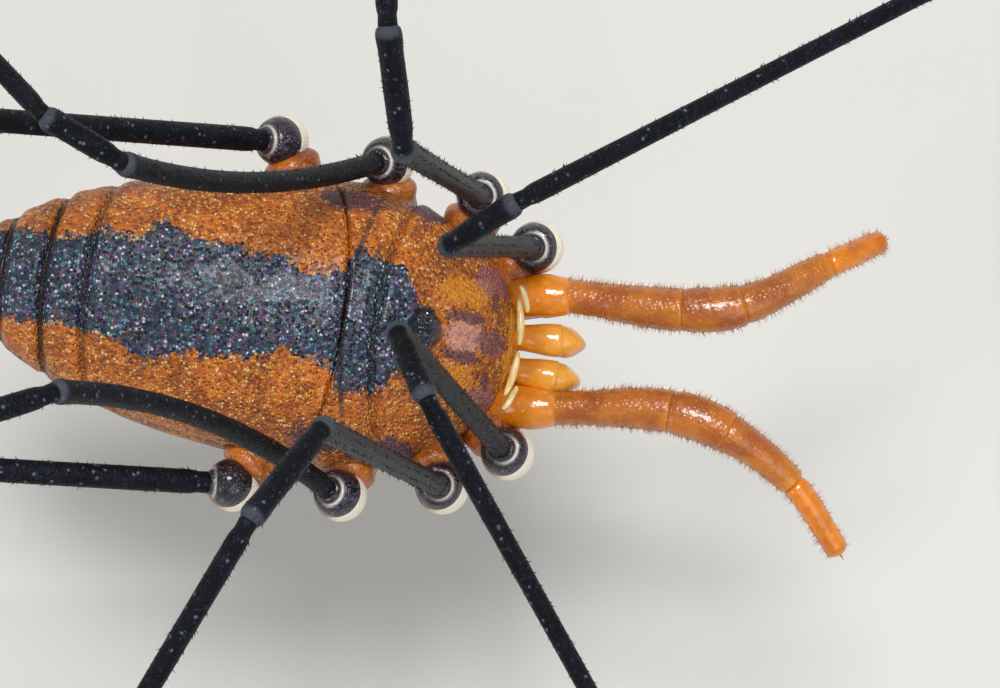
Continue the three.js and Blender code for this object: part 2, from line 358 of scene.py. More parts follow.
@dataclass
class Limb:
    """A round limb along a path: rings of its radius, square to the path.

    Attributes:
        path: points along the middle, in millimetres.
        radius: one radius per path point.
        across: a direction that stays sideways all along, so that the rings don't twist.
        height: the rings' height as a share of their width.
    """

    path: Array
    radius: Array
    across: Array
    height: float = 1.0

    def __post_init__(self) -> None:
        """Works out the distance along the path and the directions of each ring."""
        self.along = distances(self.path)
        way = np.gradient(self.path, self.along, axis=0)
        self.way = way / np.linalg.norm(way, axis=1)[:, None]
        side = self.across - (self.way @ self.across)[:, None] * self.way
        self.side = side / np.linalg.norm(side, axis=1)[:, None]
        self.over = np.cross(self.side, self.way)

    def place(self, along: Array, turn: Array, lift: float = 0.0) -> tuple[Array, ...]:
        """Points on the limb's skin: middle + radius (cos turn * side + height * sin turn * over).

        Args:
            along: distances from the start.
            turn: angles round the limb.
            lift: how far above the skin.

        Returns:
            The points, the outward directions and the limb's own direction there.
        """
        middle, side, over, way = (
            points_at(along, self.along, rows) for rows in (self.path, self.side, self.over, self.way)
        )
        out = np.cos(turn)[..., None] * side + np.sin(turn)[..., None] * over * self.height
        radius = np.interp(along, self.along, self.radius)[..., None]
        normal = out / np.linalg.norm(out, axis=-1)[..., None]
        return middle + out * radius + normal * lift, normal, way

    def skin(self, sides: int, relief: Relief | None = None, **marks: Array) -> Surface:
        """The limb's closed surface.

        Args:
            sides: points round each ring.
            relief: optional function of (along, turn) that gives a height above the skin.
            marks: one value per path point, under each mark's name.

        Returns:
            The surface, with those marks.
        """
        along, around = np.meshgrid(self.along, turns(sides), indexing="ij")
        points, normal, _ = self.place(along, around)
        if relief is not None:
            points = points + normal * relief(along, around)[..., None]
        return closed_grid(points, {name: value[:, None] for name, value in marks.items()})


def spread(start: float, end: float, count: int, ends: int = 7) -> Array:
    """Distances from start to end, closer together near both ends.

    The values added near an end lie the step times 1 - cos(pi t / 2) from it, for shares t from 0 to 1.

    Args:
        start: first value.
        end: last value.
        count: how many evenly spaced values lie between the ends.
        ends: how many extra values round each end.

    Returns:
        The values in order.
    """
    even = np.linspace(start, end, count)
    step = (end - start) / max(count - 1, 1)
    near = step * (1 - np.cos(np.linspace(0, math.pi / 2, ends + 2)[1:-1]))
    return np.unique(np.concatenate([even, start + near, end - near]))


def capped(along: Array, radius: Array, cap: float) -> Array:
    """Rounds a limb's ends off: the radius there is times sqrt(1 - (1 - inset / cap)^2).

    Args:
        along: distances along the limb.
        radius: the radius before.
        cap: length over which each end closes.

    Returns:
        The new radius.
    """
    # The end rings keep a fiftieth of their radius, so that none of them is a point
    least = 0.0004
    inset = np.minimum(along - along[0], along[-1] - along)
    return radius * quarter_round(inset / cap, least)


@dataclass(frozen=True)
class Bristle:
    """A kind of bristle: slender three-sided spikes set on a limb's skin, leaning along it.

    Attributes:
        length: mean length, in millimetres.
        width: width at the root.
        rake: lean towards the limb's end, in radians.
        turns: between which angles round the limb they stand.
        lanes: in how many lengthwise lanes they stand, or 0 for none.
    """

    length: float
    width: float
    rake: float
    turns: tuple[float, float] = (0.0, 2 * math.pi)
    lanes: int = 0
    # Between which shares of the limb's length they stand
    SPAN = (0.02, 0.98)
    # How much they vary, as the spread of a normal draw: place in a lane as a share of its width, and lean
    LANE_SPREAD = 0.12
    LEAN_SPREAD = 0.18
    # Shortest and longest, as multiples of the mean length
    SIZES = (0.65, 1.35)
    # Unwrap of a bristled piece: where a limb lies along and across its row, and the size of a root's patch
    LIMB_START, LIMB_SHARE = 0.01, 0.98
    ROW_START, ROW_SHARE = 0.08, 0.84
    PATCH_SIZE = 0.003

    def grow(self, limb: Limb, count: int, seed: int, row: int, rows: int) -> Surface:
        """Grows the bristles on a limb.

        Each is a closed four-faced spike: three points round its root, sunk into the skin, and its tip. The
        mark "shade" rises from a tenth of its value at the root to between 0.4 and 1 at the tip.

        Args:
            limb: what they grow from.
            count: how many.
            seed: seed of the random draw.
            row: which row of the unwrap the limb has.
            rows: how many rows there are.

        Returns:
            The joined spikes, with their roots on the unwrap.
        """
        draw = np.random.default_rng(seed)
        first, last = self.turns
        along = limb.along[-1] * draw.uniform(*self.SPAN, count)
        turn = draw.uniform(first, last, count)
        if self.lanes:
            lane = (last - first) / self.lanes
            number = np.floor((turn - first) / lane)
            turn = first + (number + 0.5 + draw.normal(0, self.LANE_SPREAD, count)) * lane
        root, normal, way = limb.place(along, turn, lift=-0.3 * self.width)
        lean = self.rake + draw.normal(0, self.LEAN_SPREAD, count)
        point = normal * np.cos(lean)[:, None] + way * np.sin(lean)[:, None]
        side = np.cross(point, way)
        side /= np.linalg.norm(side, axis=1)[:, None]
        other = np.cross(point, side)
        size = self.length * draw.uniform(*self.SIZES, count)
        corners = [root + (side * math.cos(angle) + other * math.sin(angle)) * self.width / 2
                   for angle in (2 * math.pi * number / 3 for number in range(3))]
        tip = root + point * size[:, None]
        points = np.stack([*corners, tip], axis=1).reshape(-1, 3)
        start = 4 * np.arange(count)[:, None]
        faces = np.concatenate([start + corner for corner in ([0, 1, 3], [1, 2, 3], [2, 0, 3], [0, 2, 1])])
        u = self.LIMB_START + self.LIMB_SHARE * (along / limb.along[-1])
        v = (row + self.ROW_START + self.ROW_SHARE * np.mod(turn, 2 * math.pi) / (2 * math.pi)) / rows
        patch = np.array([[0, 0], [1, 0], [0, 1], [1, 1]]) * self.PATCH_SIZE
        roots = (np.stack([u, v], axis=-1)[:, None] + patch).reshape(-1, 2)
        shade = (draw.uniform(0.4, 1, count)[:, None] * np.array([0.1, 0.1, 0.1, 1.0])).reshape(-1)
        return Surface(points, [faces], {"shade": shade}, roots).outward()


def place_piece(name: str, surface: Surface, finish: bpy.types.Material, slot: str, nodes: list[str]) -> None:
    """Puts a surface into the scene: makes the mesh, dresses it and hides the solids it stands for.

    Args:
        name: the piece's name.
        surface: its shape in the body's frame.
        finish: its material.
        slot: a material slot's name; not used.
        nodes: names of the solids it stands for.
    """
    mesh = bpy.data.meshes.new(name)
    points = (surface.points + BODY_ORIGIN) * MM
    blocks = [block for block in surface.faces if len(block)]
    loops = np.concatenate([block.reshape(-1) for block in blocks])
    sizes = np.concatenate([np.full(len(block), block.shape[1]) for block in blocks])
    starts = np.concatenate([[0], np.cumsum(sizes)[:-1]])
    mesh.vertices.add(len(points))
    mesh.vertices.foreach_set("co", points.astype(np.float32).reshape(-1))
    mesh.loops.add(len(loops))
    mesh.loops.foreach_set("vertex_index", loops.astype(np.int32))
    mesh.polygons.add(len(sizes))
    mesh.polygons.foreach_set("loop_start", starts.astype(np.int32))
    mesh.polygons.foreach_set("use_smooth", np.ones(len(sizes), dtype=bool))
    mesh.update(calc_edges=True)
    for mark, values in surface.marks.items():
        layer = mesh.attributes.new(mark, "FLOAT", "POINT")
        layer.data.foreach_set("value", values.astype(np.float32))
    if surface.roots is not None:
        unwrap = mesh.uv_layers.new(name="OFBake")
        unwrap.data.foreach_set("uv", surface.roots[loops].astype(np.float32).reshape(-1))
    mesh.materials.append(finish)
    made = bpy.data.objects.new(name, mesh)
    bpy.context.scene.collection.objects.link(made)
    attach(made, "root")
    if nodes:
        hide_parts(*nodes)
    LOG.info("%s: %d points, %d faces", name, len(points), len(sizes))


# Finishes


@dataclass(frozen=True)
class Cuticle:
    """Hard arthropod skin: chitin grown in thin coloured layers, with fine rounded grains and a waxy gloss.

    Attributes:
        name: the material's name.
        colour: main colour.
        mottle: colour of its uneven patches.
        mottle_mm: size of the patches.
        mottle_share: how much of the surface they colour, 0 to 1.
        grain_mm: spacing of the grains.
        grain_height_mm: height of the grains.
        roughness: of the bare surface.
        coat: strength of the waxy gloss.
        translucent: share of light that passes through the outer layers.
        specular: strength of the bare surface's reflection, 0.5 for smooth chitin.
        glints: coloured grains over the ground, partly their own colour and partly painted highlights, or
            none.
    """

    name: str
    colour: str
    mottle: str
    mottle_mm: float = 0.3
    mottle_share: float = 0.5
    grain_mm: float = 0.04
    grain_height_mm: float = 0.006
    roughness: float = 0.4
    coat: float = 0.2
    translucent: float = 0.0
    specular: float = 0.5
    glints: Grains = ()
    # Chitin's refractive index, and the roughness of the wax over it
    IOR = 1.56
    WAX_ROUGHNESS = 0.12
    # How far light strays in the outer layers, and the share of that for red, green and blue
    STRAY_MM = 0.12
    STRAY_SHARES = (1.0, 0.35, 0.08)
    # Level of the noise at which patches begin, how far more of them lower it, and how far their edge fades
    NOISE_HIGH, NOISE_RANGE = 0.62, 0.24
    PATCH_FADE = 0.09

    def place(self, tree: Tree) -> Socket:
        """Millimetres in the body's frame, from the object's own coordinates: (metres / MM) - origin."""
        where = add_node(tree, "TexCoord")
        mapping = add_node(tree, "Mapping", {
            "Vector": where.outputs["Object"],
            "Location": tuple(-BODY_ORIGIN),
            "Scale": (1 / MM,) * 3,
        })
        return mapping.outputs["Vector"]

    def paint(self, tree: Tree, place: Socket) -> Socket:
        """Patches of the second colour over the first, cut from a noise of their size, then glints: grains
        partly painted highlights.

        Args:
            tree: the node tree.
            place: millimetres in the body's frame.

        Returns:
            The colour.
        """
        noise = add_node(tree, "TexNoise", {
            "Vector": place, "Scale": 1 / self.mottle_mm, "Detail": 4.0, "Roughness": 0.6,
        })
        level = self.NOISE_HIGH - self.NOISE_RANGE * self.mottle_share
        cut = add_node(tree, "MapRange", {
            "Value": noise.outputs["Fac"],
            "From Min": level - self.PATCH_FADE, "From Max": level + self.PATCH_FADE,
        })
        mix = add_node(tree, "Mix", {
            "Factor": cut.outputs["Result"], 6: linear(self.colour), 7: linear(self.mottle),
        }, data_type="RGBA")
        if not self.glints:
            return mix.outputs[2]
        cells = add_node(tree, "TexVoronoi", {"Vector": place, "Scale": 1 / self.grain_mm})
        return self.grained(tree, cells, mix.outputs[2], self.glints)

    @staticmethod
    def grained(tree: Tree, cells: Node, ground: Socket, grains: Grains) -> Socket:
        """Colours each grain by a random draw: one ramp of flat steps picks its colour, another its cover.

        Args:
            tree: the node tree.
            cells: the node that divides the surface into grains.
            ground: colour between the grains.
            grains: the bands of the draw.

        Returns:
            The colour.
        """
        draw = add_node(tree, "SeparateColor", {"Color": cells.outputs["Color"]})
        ramps = []
        for cover in (False, True):
            node = add_node(tree, "ValToRGB", {"Fac": draw.outputs[0]})
            ramp = node.color_ramp
            ramp.interpolation = "CONSTANT"
            for number, (start, colour, strength) in enumerate(grains):
                stop = ramp.elements[0] if number == 0 else ramp.elements.new(start)
                stop.position = start
                stop.color = (strength,) * 3 + (1.0,) if cover else linear(colour)
            ramp.elements.remove(ramp.elements[-1])
            ramps.append(node.outputs["Color"])
        # A grain has its full colour over the inner quarter of its spacing and fades from there
        core = add_node(tree, "MapRange", {
            "Value": cells.outputs["Distance"],
            "From Min": 0.25, "From Max": 0.6, "To Min": 1.0, "To Max": 0.15,
        })
        cover = add_node(tree, "Math", {0: ramps[1], 1: core.outputs["Result"]}, operation="MULTIPLY")
        mix = add_node(tree, "Mix", {"Factor": cover.outputs[0], 6: ground, 7: ramps[0]}, data_type="RGBA")
        return mix.outputs[2]

    def relief(self, tree: Tree, place: Socket) -> Socket:
        """Bump of rounded grains: the height falls with distance from each grain's middle.

        Args:
            tree: the node tree.
            place: millimetres in the body's frame.

        Returns:
            The bent normal.
        """
        cells = add_node(tree, "TexVoronoi", {"Vector": place, "Scale": 1 / self.grain_mm})
        round_top = add_node(tree, "MapRange", {
            "Value": cells.outputs["Distance"],
            "From Min": 0.0, "From Max": 0.7, "To Min": 1.0, "To Max": 0.0,
        }, interpolation_type="SMOOTHSTEP")
        bump = add_node(tree, "Bump", {
            "Height": round_top.outputs["Result"], "Distance": self.grain_height_mm * MM, "Strength": 1.0,
        })
        return bump.outputs["Normal"]

    def build(self) -> bpy.types.Material:
        """Makes the material.

        Returns:
            The material with its nodes.
        """
        material = bpy.data.materials.new(self.name)
        material.use_nodes = True
        tree = material.node_tree
        shader = tree.nodes["Principled BSDF"]
        place = self.place(tree)
        tree.links.new(self.paint(tree, place), shader.inputs["Base Color"])
        tree.links.new(self.relief(tree, place), shader.inputs["Normal"])
        values = {
            "Roughness": self.roughness,
            "IOR": self.IOR,
            "Specular IOR Level": self.specular,
            "Coat Weight": self.coat,
            "Coat Roughness": self.WAX_ROUGHNESS,
        }
        if self.translucent:
            values.update({
                "Subsurface Weight": self.translucent,
                "Subsurface Radius": self.STRAY_SHARES,
                "Subsurface Scale": self.STRAY_MM * MM,
            })
        for name, value in values.items():
            shader.inputs[name].default_value = value
        return material


@dataclass(frozen=True)
class Blot:
    """An oval patch of colour, the same on both sides of the midline, in millimetres in the body's frame.

    Attributes:
        x, y: its middle, with y as the distance from the midline.
        length, width: its half sizes along and across the body.
        colour: what it is coloured.
        strength: how much it covers what lies under it.
        ragged: how uneven its edge is.
    """

    x: float
    y: float
    length: float
    width: float
    colour: str
    strength: float
    ragged: float


@dataclass(frozen=True)
class BackCuticle(Cuticle):
    """The granular skin of the back: orange, dark saddle, blots round it, and coloured grains with painted
    highlights.

    Attributes:
        saddle: colour of the saddle between its grains.
        edge: the saddle's half width at places along the body, as (x, half width).
        blots: the smaller patches.
        grooves: the dark lines across the back, as (place along the body, strength).
        belly: colour of the underside.
        groove_colour: colour of those lines.
    """

    saddle: str = "#161A2B"
    edge: tuple[tuple[float, float], ...] = ()
    blots: tuple[Blot, ...] = ()
    grooves: tuple[tuple[float, float], ...] = ()
    belly: str = "#A8682A"
    groove_colour: str = "#1E0B08"
    # Colours of the grains on the orange and on the saddle: their own colours, with painted highlights in the
    # palest steps
    GOLD_GRAINS_AND_GLINTS = (
        (0.0, "#6A2E02", 0.75), (0.28, "#B25E0A", 0.3), (0.52, "#E48A14", 0.75), (0.76, "#FFB53C", 0.9),
        (0.93, "#FFDC94", 1.0),
    )
    SADDLE_GRAINS_AND_GLINTS = (
        (0.0, "#07090F", 0.9), (0.22, "#22304E", 0.95), (0.36, "#136068", 0.95), (0.5, "#543A78", 0.95),
        (0.62, "#8A5E94", 0.95), (0.71, "#7C6C3C", 0.9), (0.78, "#5EA8AE", 0.95), (0.87, "#A9B4D2", 1.0),
        (0.95, "#F4F0FA", 1.0),
    )
    # Heights between which orange turns to the belly's colour, and between which the back's pattern comes in
    BELLY_FADE = (-0.35, -0.75)
    PATTERN_FADE = (-0.42, -0.22)
    # Size of the waves that fray a patch's edge, how far each grain strays from them, and the mean of both
    FRAY_MM = 0.35
    FRAY_DRAW = 0.24
    FRAY_MEAN = 0.62
    SADDLE_FRAY = 0.42
    # The saddle ends within this distance before and behind the body's origin, and is this sharp at its sides
    SADDLE_FRONT = 0.02
    SADDLE_SHARPNESS = 0.004

    def paint(self, tree: Tree, place: Socket) -> Socket:
        """Lays the colours over one another: orange, belly, blots, saddle, grains of each with painted
        highlights, grooves.

        Blots and saddle end at the flank. The patches are cut grain by grain: each grain has the colour of
        the patch that holds its middle.

        Args:
            tree: the node tree.
            place: millimetres in the body's frame.

        Returns:
            The colour.
        """
        orange = Cuticle.paint(self, tree, place)
        cells = add_node(tree, "TexVoronoi", {"Vector": place, "Scale": 1 / self.grain_mm})
        grain = add_node(tree, "SeparateXYZ", {"Vector": cells.outputs["Position"]})
        off = add_node(tree, "Math", {0: grain.outputs["Y"]}, operation="ABSOLUTE")
        x, away = grain.outputs["X"], off.outputs[0]
        ragged = self.ragged(tree, cells)
        low = add_node(tree, "MapRange", {
            "Value": grain.outputs["Z"], "From Min": self.BELLY_FADE[0], "From Max": self.BELLY_FADE[1],
        }, interpolation_type="SMOOTHSTEP")
        under = add_node(tree, "Mix", {
            "Factor": low.outputs["Result"], 6: orange, 7: linear(self.belly),
        }, data_type="RGBA")
        ground = colour = self.grained(tree, cells, under.outputs[2], self.GOLD_GRAINS_AND_GLINTS)
        for blot in self.blots:
            colour = self.lay_blot(tree, blot, x, away, ragged, colour)
        dark = self.grained(tree, cells, self.plain(tree, self.saddle), self.SADDLE_GRAINS_AND_GLINTS)
        mask = self.saddle_mask(tree, x, away, ragged)
        patterned = add_node(tree, "Mix", {"Factor": mask, 6: colour, 7: dark}, data_type="RGBA")
        upper = add_node(tree, "MapRange", {
            "Value": grain.outputs["Z"], "From Min": self.PATTERN_FADE[0], "From Max": self.PATTERN_FADE[1],
        })
        mixed = add_node(tree, "Mix", {
            "Factor": upper.outputs["Result"], 6: ground, 7: patterned.outputs[2],
        }, data_type="RGBA")
        parts = add_node(tree, "SeparateXYZ", {"Vector": place})
        beside = add_node(tree, "Math", {0: parts.outputs["Y"]}, operation="ABSOLUTE")
        return self.lay_grooves(tree, parts, beside.outputs[0], mixed.outputs[2])

    @staticmethod
    def plain(tree: Tree, colour: str) -> Socket:
        """One colour as a socket."""
        node = add_node(tree, "RGB")
        node.outputs[0].default_value = linear(colour)
        return node.outputs[0]

    def ragged(self, tree: Tree, cells: Node) -> Socket:
        """Unevenness about 0 that frays the patches' edges: a noise of waves, and a draw for each grain.

        Args:
            tree: the node tree.
            cells: the node that divides the surface into grains.

        Returns:
            The unevenness.
        """
        noise = add_node(tree, "TexNoise", {
            "Vector": cells.outputs["Position"], "Scale": 1 / self.FRAY_MM, "Detail": 5.0, "Roughness": 0.68,
        })
        draw = add_node(tree, "SeparateColor", {"Color": cells.outputs["Color"]})
        spread_out = add_node(tree, "Math", {
            0: draw.outputs[1], 1: self.FRAY_DRAW, 2: noise.outputs["Fac"],
        }, operation="MULTIPLY_ADD")
        centred = add_node(tree, "Math", {0: spread_out.outputs[0], 1: self.FRAY_MEAN}, operation="SUBTRACT")
        return centred.outputs[0]

    def saddle_mask(self, tree: Tree, x: Socket, away: Socket, ragged: Socket) -> Socket:
        """1 inside the saddle: where |y| + unevenness is less than the half width read from a curve along x.

        Args:
            tree: the node tree.
            x: place along the body.
            away: distance from the midline.
            ragged: unevenness of the edge.

        Returns:
            The mask.
        """
        start, end = self.edge[0][0], self.edge[-1][0]
        share = add_node(tree, "MapRange", {"Value": x, "From Min": start, "From Max": end})
        curve = add_node(tree, "FloatCurve", {"Value": share.outputs["Result"]})
        points = curve.mapping.curves[0].points
        while len(points) < len(self.edge):
            points.new(0.5, 0.5)
        for point, (place_x, half) in zip(points, self.edge):
            point.location = ((place_x - start) / (end - start), half)
            point.handle_type = "VECTOR"
        curve.mapping.update()
        frayed = add_node(tree, "Math", {0: ragged, 1: self.SADDLE_FRAY, 2: away}, operation="MULTIPLY_ADD")
        inside = add_node(tree, "Math", {
            0: curve.outputs["Value"], 1: frayed.outputs[0],
        }, operation="SUBTRACT")
        mask = add_node(tree, "MapRange", {
            "Value": inside.outputs[0],
            "From Min": -self.SADDLE_SHARPNESS, "From Max": self.SADDLE_SHARPNESS,
        })
        behind = add_node(tree, "MapRange", {
            "Value": x, "From Min": self.SADDLE_FRONT, "From Max": -self.SADDLE_FRONT,
        })
        shown = add_node(tree, "Math", {
            0: mask.outputs["Result"], 1: behind.outputs["Result"],
        }, operation="MULTIPLY")
        return shown.outputs[0]

    @staticmethod
    def lay_blot(tree: Tree, blot: Blot, x: Socket, away: Socket, ragged: Socket, under: Socket) -> Socket:
        """Lays one oval patch over a colour, its edge soft and frayed.

        A place is inside where sqrt(((x - a) / l)^2 + ((|y| - b) / w)^2) + unevenness is below 1. The colour
        comes in from 1.12 to 0.85.

        Args:
            tree: the node tree.
            blot: the patch.
            x: place along the body.
            away: distance from the midline.
            ragged: unevenness of the edge.
            under: the colour that it lies over.

        Returns:
            The colour.
        """
        place = add_node(tree, "CombineXYZ", {"X": x, "Y": away})
        from_middle = add_node(tree, "VectorMath", {
            0: place.outputs[0], 1: (blot.x, blot.y, 0.0),
        }, operation="SUBTRACT")
        scaled = add_node(tree, "VectorMath", {
            0: from_middle.outputs[0], 1: (1 / blot.length, 1 / blot.width, 0.0),
        }, operation="MULTIPLY")
        far = add_node(tree, "VectorMath", {0: scaled.outputs[0]}, operation="LENGTH")
        frayed = add_node(tree, "Math", {
            0: ragged, 1: 2 * blot.ragged, 2: far.outputs["Value"],
        }, operation="MULTIPLY_ADD")
        inside = add_node(tree, "MapRange", {
            "Value": frayed.outputs[0],
            "From Min": 1.12, "From Max": 0.85, "To Min": 0.0, "To Max": blot.strength,
        }, interpolation_type="SMOOTHSTEP")
        mix = add_node(tree, "Mix", {
            "Factor": inside.outputs["Result"], 6: under, 7: linear(blot.colour),
        }, data_type="RGBA")
        return mix.outputs[2]

    def lay_grooves(self, tree: Tree, parts: Node, away: Socket, colour: Socket) -> Socket:
        """Darkens the lines across the back, where |x - g - curve y^2| is small, and fainter at the flanks.

        Args:
            tree: the node tree.
            parts: the node with the place's x, y and z.
            away: distance from the midline.
            colour: the colour that they lie over.

        Returns:
            The colour.
        """
        bend = add_node(tree, "Math", {0: away, 1: away}, operation="MULTIPLY")
        bent = add_node(tree, "Math", {
            0: bend.outputs[0], 1: -Body.GROOVE_CURVE, 2: parts.outputs["X"],
        }, operation="MULTIPLY_ADD")
        above = add_node(tree, "MapRange", {
            "Value": parts.outputs["Z"], "From Min": -0.6, "From Max": -0.2, "To Min": 0.35,
        })
        inner = add_node(tree, "MapRange", {"Value": away, "From Min": 1.2, "From Max": 0.75, "To Min": 0.45})
        shade = add_node(tree, "Math", {
            0: above.outputs["Result"], 1: inner.outputs["Result"],
        }, operation="MULTIPLY")
        for groove, strength in self.grooves:
            gap = add_node(tree, "Math", {0: bent.outputs[0], 1: groove}, operation="SUBTRACT")
            size = add_node(tree, "Math", {0: gap.outputs[0]}, operation="ABSOLUTE")
            line = add_node(tree, "MapRange", {
                "Value": size.outputs[0],
                "From Min": 0.012, "From Max": 0.05, "To Min": strength, "To Max": 0.0,
            }, interpolation_type="SMOOTHSTEP")
            shown = add_node(tree, "Math", {
                0: line.outputs["Result"], 1: shade.outputs[0],
            }, operation="MULTIPLY")
            mix = add_node(tree, "Mix", {
                "Factor": shown.outputs[0], 6: colour, 7: linear(self.groove_colour),
            }, data_type="RGBA")
            colour = mix.outputs[2]
        return colour


@dataclass(frozen=True)
class MarkedCuticle(Cuticle):
    """Skin with a second colour where the surface carries the mark "pale", as at joints and rims.

    Attributes:
        pale: that second colour.
    """

    pale: str = "#F0DFC0"

    def paint(self, tree: Tree, place: Socket) -> Socket:
        """The plain cuticle's colour, and the pale one by the mark.

        Args:
            tree: the node tree.
            place: millimetres in the body's frame.

        Returns:
            The colour.
        """
        colour = Cuticle.paint(self, tree, place)
        mark = add_node(tree, "Attribute", attribute_name="pale")
        mix = add_node(tree, "Mix", {
            "Factor": mark.outputs["Fac"], 6: colour, 7: linear(self.pale),
        }, data_type="RGBA")
        return mix.outputs[2]


@dataclass(frozen=True)
class BristleFinish(Cuticle):
    """Chitin bristles, each its own shade between two colours by the mark "shade"."""

    def paint(self, tree: Tree, place: Socket) -> Socket:
        """Mixes the two colours by each bristle's shade.

        Args:
            tree: the node tree.
            place: millimetres in the body's frame, which this finish doesn't need.

        Returns:
            The colour.
        """
        mark = add_node(tree, "Attribute", attribute_name="shade")
        mix = add_node(tree, "Mix", {
            "Factor": mark.outputs["Fac"], 6: linear(self.colour), 7: linear(self.mottle),
        }, data_type="RGBA")
        return mix.outputs[2]


class Finishes:
    """Every finish of the animal, made once."""

    SADDLE_EDGE = (
        (-5.5, 0.40), (-4.9, 0.50), (-4.4, 0.50), (-4.36, 0.44), (-3.9, 0.52), (-3.86, 0.56), (-3.42, 0.60),
        (-3.09, 0.78), (-2.8, 0.64), (-2.6, 0.61), (-2.2, 0.66), (-1.9, 0.58), (-1.6, 0.47), (-1.3, 0.47),
        (-1.03, 0.54), (-0.98, 0.70), (-0.93, 0.80), (-0.70, 0.78), (-0.64, 0.66), (-0.58, 0.80),
        (-0.40, 0.70), (-0.26, 0.46), (-0.12, 0.24), (0.0, 0.0), (1.0, 0.0),
    )
    BLOTS = (
        Blot(0.31, 0.50, 0.29, 0.16, "#EE9410", 0.7, 0.7),
        Blot(0.93, 0.25, 0.1, 0.42, "#EC9A1C", 0.8, 0.5),
        Blot(0.66, 0.69, 0.22, 0.20, "#9A6470", 0.65, 0.8),
        Blot(0.36, 0.00, 0.21, 0.17, "#E2A69C", 0.6, 0.7),
        Blot(0.36, 0.22, 0.22, 0.065, "#4B2F4E", 0.75, 0.9),
        Blot(0.70, 0.00, 0.16, 0.15, "#6B4656", 0.7, 0.8),
        Blot(0.66, 0.44, 0.05, 0.12, "#5A2C3C", 0.7, 0.8),
        Blot(-0.16, 1.40, 0.26, 0.17, "#3D2440", 0.9, 0.9),
        Blot(-1.10, 1.34, 0.30, 0.14, "#3A2036", 0.85, 0.9),
        Blot(-0.62, 1.42, 0.2, 0.1, "#5A2A20", 0.6, 0.8),
        Blot(-2.1, 1.38, 0.5, 0.06, "#6B2E10", 0.5, 0.8),
    )
    GROOVES = ((-4.83, 0.85), (-4.35, 0.95), (-3.88, 0.55), (-0.97, 0.9), (-0.62, 0.45))

    def __init__(self) -> None:
        """Builds the materials, each with a word on what it gives the eye."""
        # Grainy, half matte skin whose beads each have their own colour, the palest of them painted
        # highlights
        self.back = BackCuticle(
            "granular_back_cuticle", "#C26208", "#8E4404", mottle_mm=0.42, grain_mm=0.034,
            grain_height_mm=0.02, roughness=0.42, coat=0.08, translucent=0.05,
            edge=self.SADDLE_EDGE, blots=self.BLOTS, grooves=self.GROOVES,
        ).build()
        # The same skin grown smoother over the bases of the legs, with a soft sheen, cream rims and golden
        # grains, partly painted glints
        self.coxa = MarkedCuticle(
            "granular_coxa_cuticle", "#B8620E", "#7E3A08", mottle_mm=0.3, grain_mm=0.045,
            grain_height_mm=0.008, roughness=0.38, coat=0.25, translucent=0.1,
            pale="#F6ECD6", glints=((0.0, "#8A4206", 0.5), (0.5, "#C8740E", 0.4), (0.92, "#DE9A34", 0.6)),
        ).build()
        # Soft skin between hard plates: pale, wet-looking and lit from within
        self.membrane = Cuticle(
            "pale_joint_membrane", "#FCE2A6", "#F4C670", mottle_mm=0.12, mottle_share=0.4, grain_mm=0.05,
            grain_height_mm=0.002, roughness=0.25, coat=0.5, translucent=0.3,
        ).build()
        # Thick clear chitin, glossy as amber
        self.amber = MarkedCuticle(
            "smooth_amber_cuticle", "#E68404", "#C66A02", mottle_mm=0.35, mottle_share=0.45, grain_mm=0.08,
            grain_height_mm=0.003, roughness=0.2, coat=0.5, translucent=0.2, pale="#FFCB52",
        ).build()
        # Darker and closer-grained than the jaws, still glossy
        self.russet = MarkedCuticle(
            "russet_palp_cuticle", "#BE6A08", "#A25006", mottle_mm=0.28, grain_mm=0.05,
            grain_height_mm=0.006, roughness=0.3, coat=0.5, translucent=0.03, pale="#E8920E",
        ).build()
        # Polished near-black globes with violet and blue glints painted on the grains as highlights
        self.hip = MarkedCuticle(
            "glossy_socket_cuticle", "#0C090E", "#22131F", mottle_mm=0.2, grain_mm=0.04,
            # The pale colour is the ring round the femur's root: partly a real rim, partly a painted
            # highlight
            grain_height_mm=0.012, roughness=0.24, coat=0.4, pale="#FBF4E4",
            glints=((0.0, "#07060A", 0.5), (0.6, "#3A2246", 0.8), (0.8, "#22325A", 0.8),
                    (0.94, "#74628C", 0.85)),
        ).build()
        # Dull black without wax, a few grains grey: partly their pale tips, partly painted glints
        self.leg = MarkedCuticle(
            "black_leg_cuticle", "#0B0E11", "#151520", mottle_mm=0.25, mottle_share=0.4, grain_mm=0.04,
            grain_height_mm=0.008, roughness=0.5, coat=0.0, specular=0.1, pale="#5E646C",
            glints=((0.0, "#090B0E", 0.3), (0.86, "#242A3C", 0.8), (0.965, "#6A7084", 0.8)),
        ).build()
        # Shiny black with a breath of blue
        self.mound = Cuticle(
            "black_eye_mound_cuticle", "#0A0C12", "#1B2440", mottle_mm=0.1, mottle_share=0.4, grain_mm=0.04,
            grain_height_mm=0.008, roughness=0.2, coat=0.5,
        ).build()
        # A lens without grain, mirror smooth over black
        self.eye = Cuticle(
            "clear_black_cornea", "#050507", "#0B0C12", mottle_mm=0.1, mottle_share=0.3, grain_mm=0.2,
            grain_height_mm=0.0, roughness=0.04, coat=1.0,
        ).build()
        # Thin clear hairs that pale to the tip
        self.bristle = BristleFinish(
            "pale_bristle", "#C67C2C", "#FFF0D6", roughness=0.35, coat=0.0, grain_height_mm=0.0,
        ).build()
        # Dull dark thorns, a little grey at the tip
        self.spine = BristleFinish(
            "dark_spinule", "#0C1012", "#54575E", roughness=0.4, coat=0.0, grain_height_mm=0.0, specular=0.1,
        ).build()


# The body


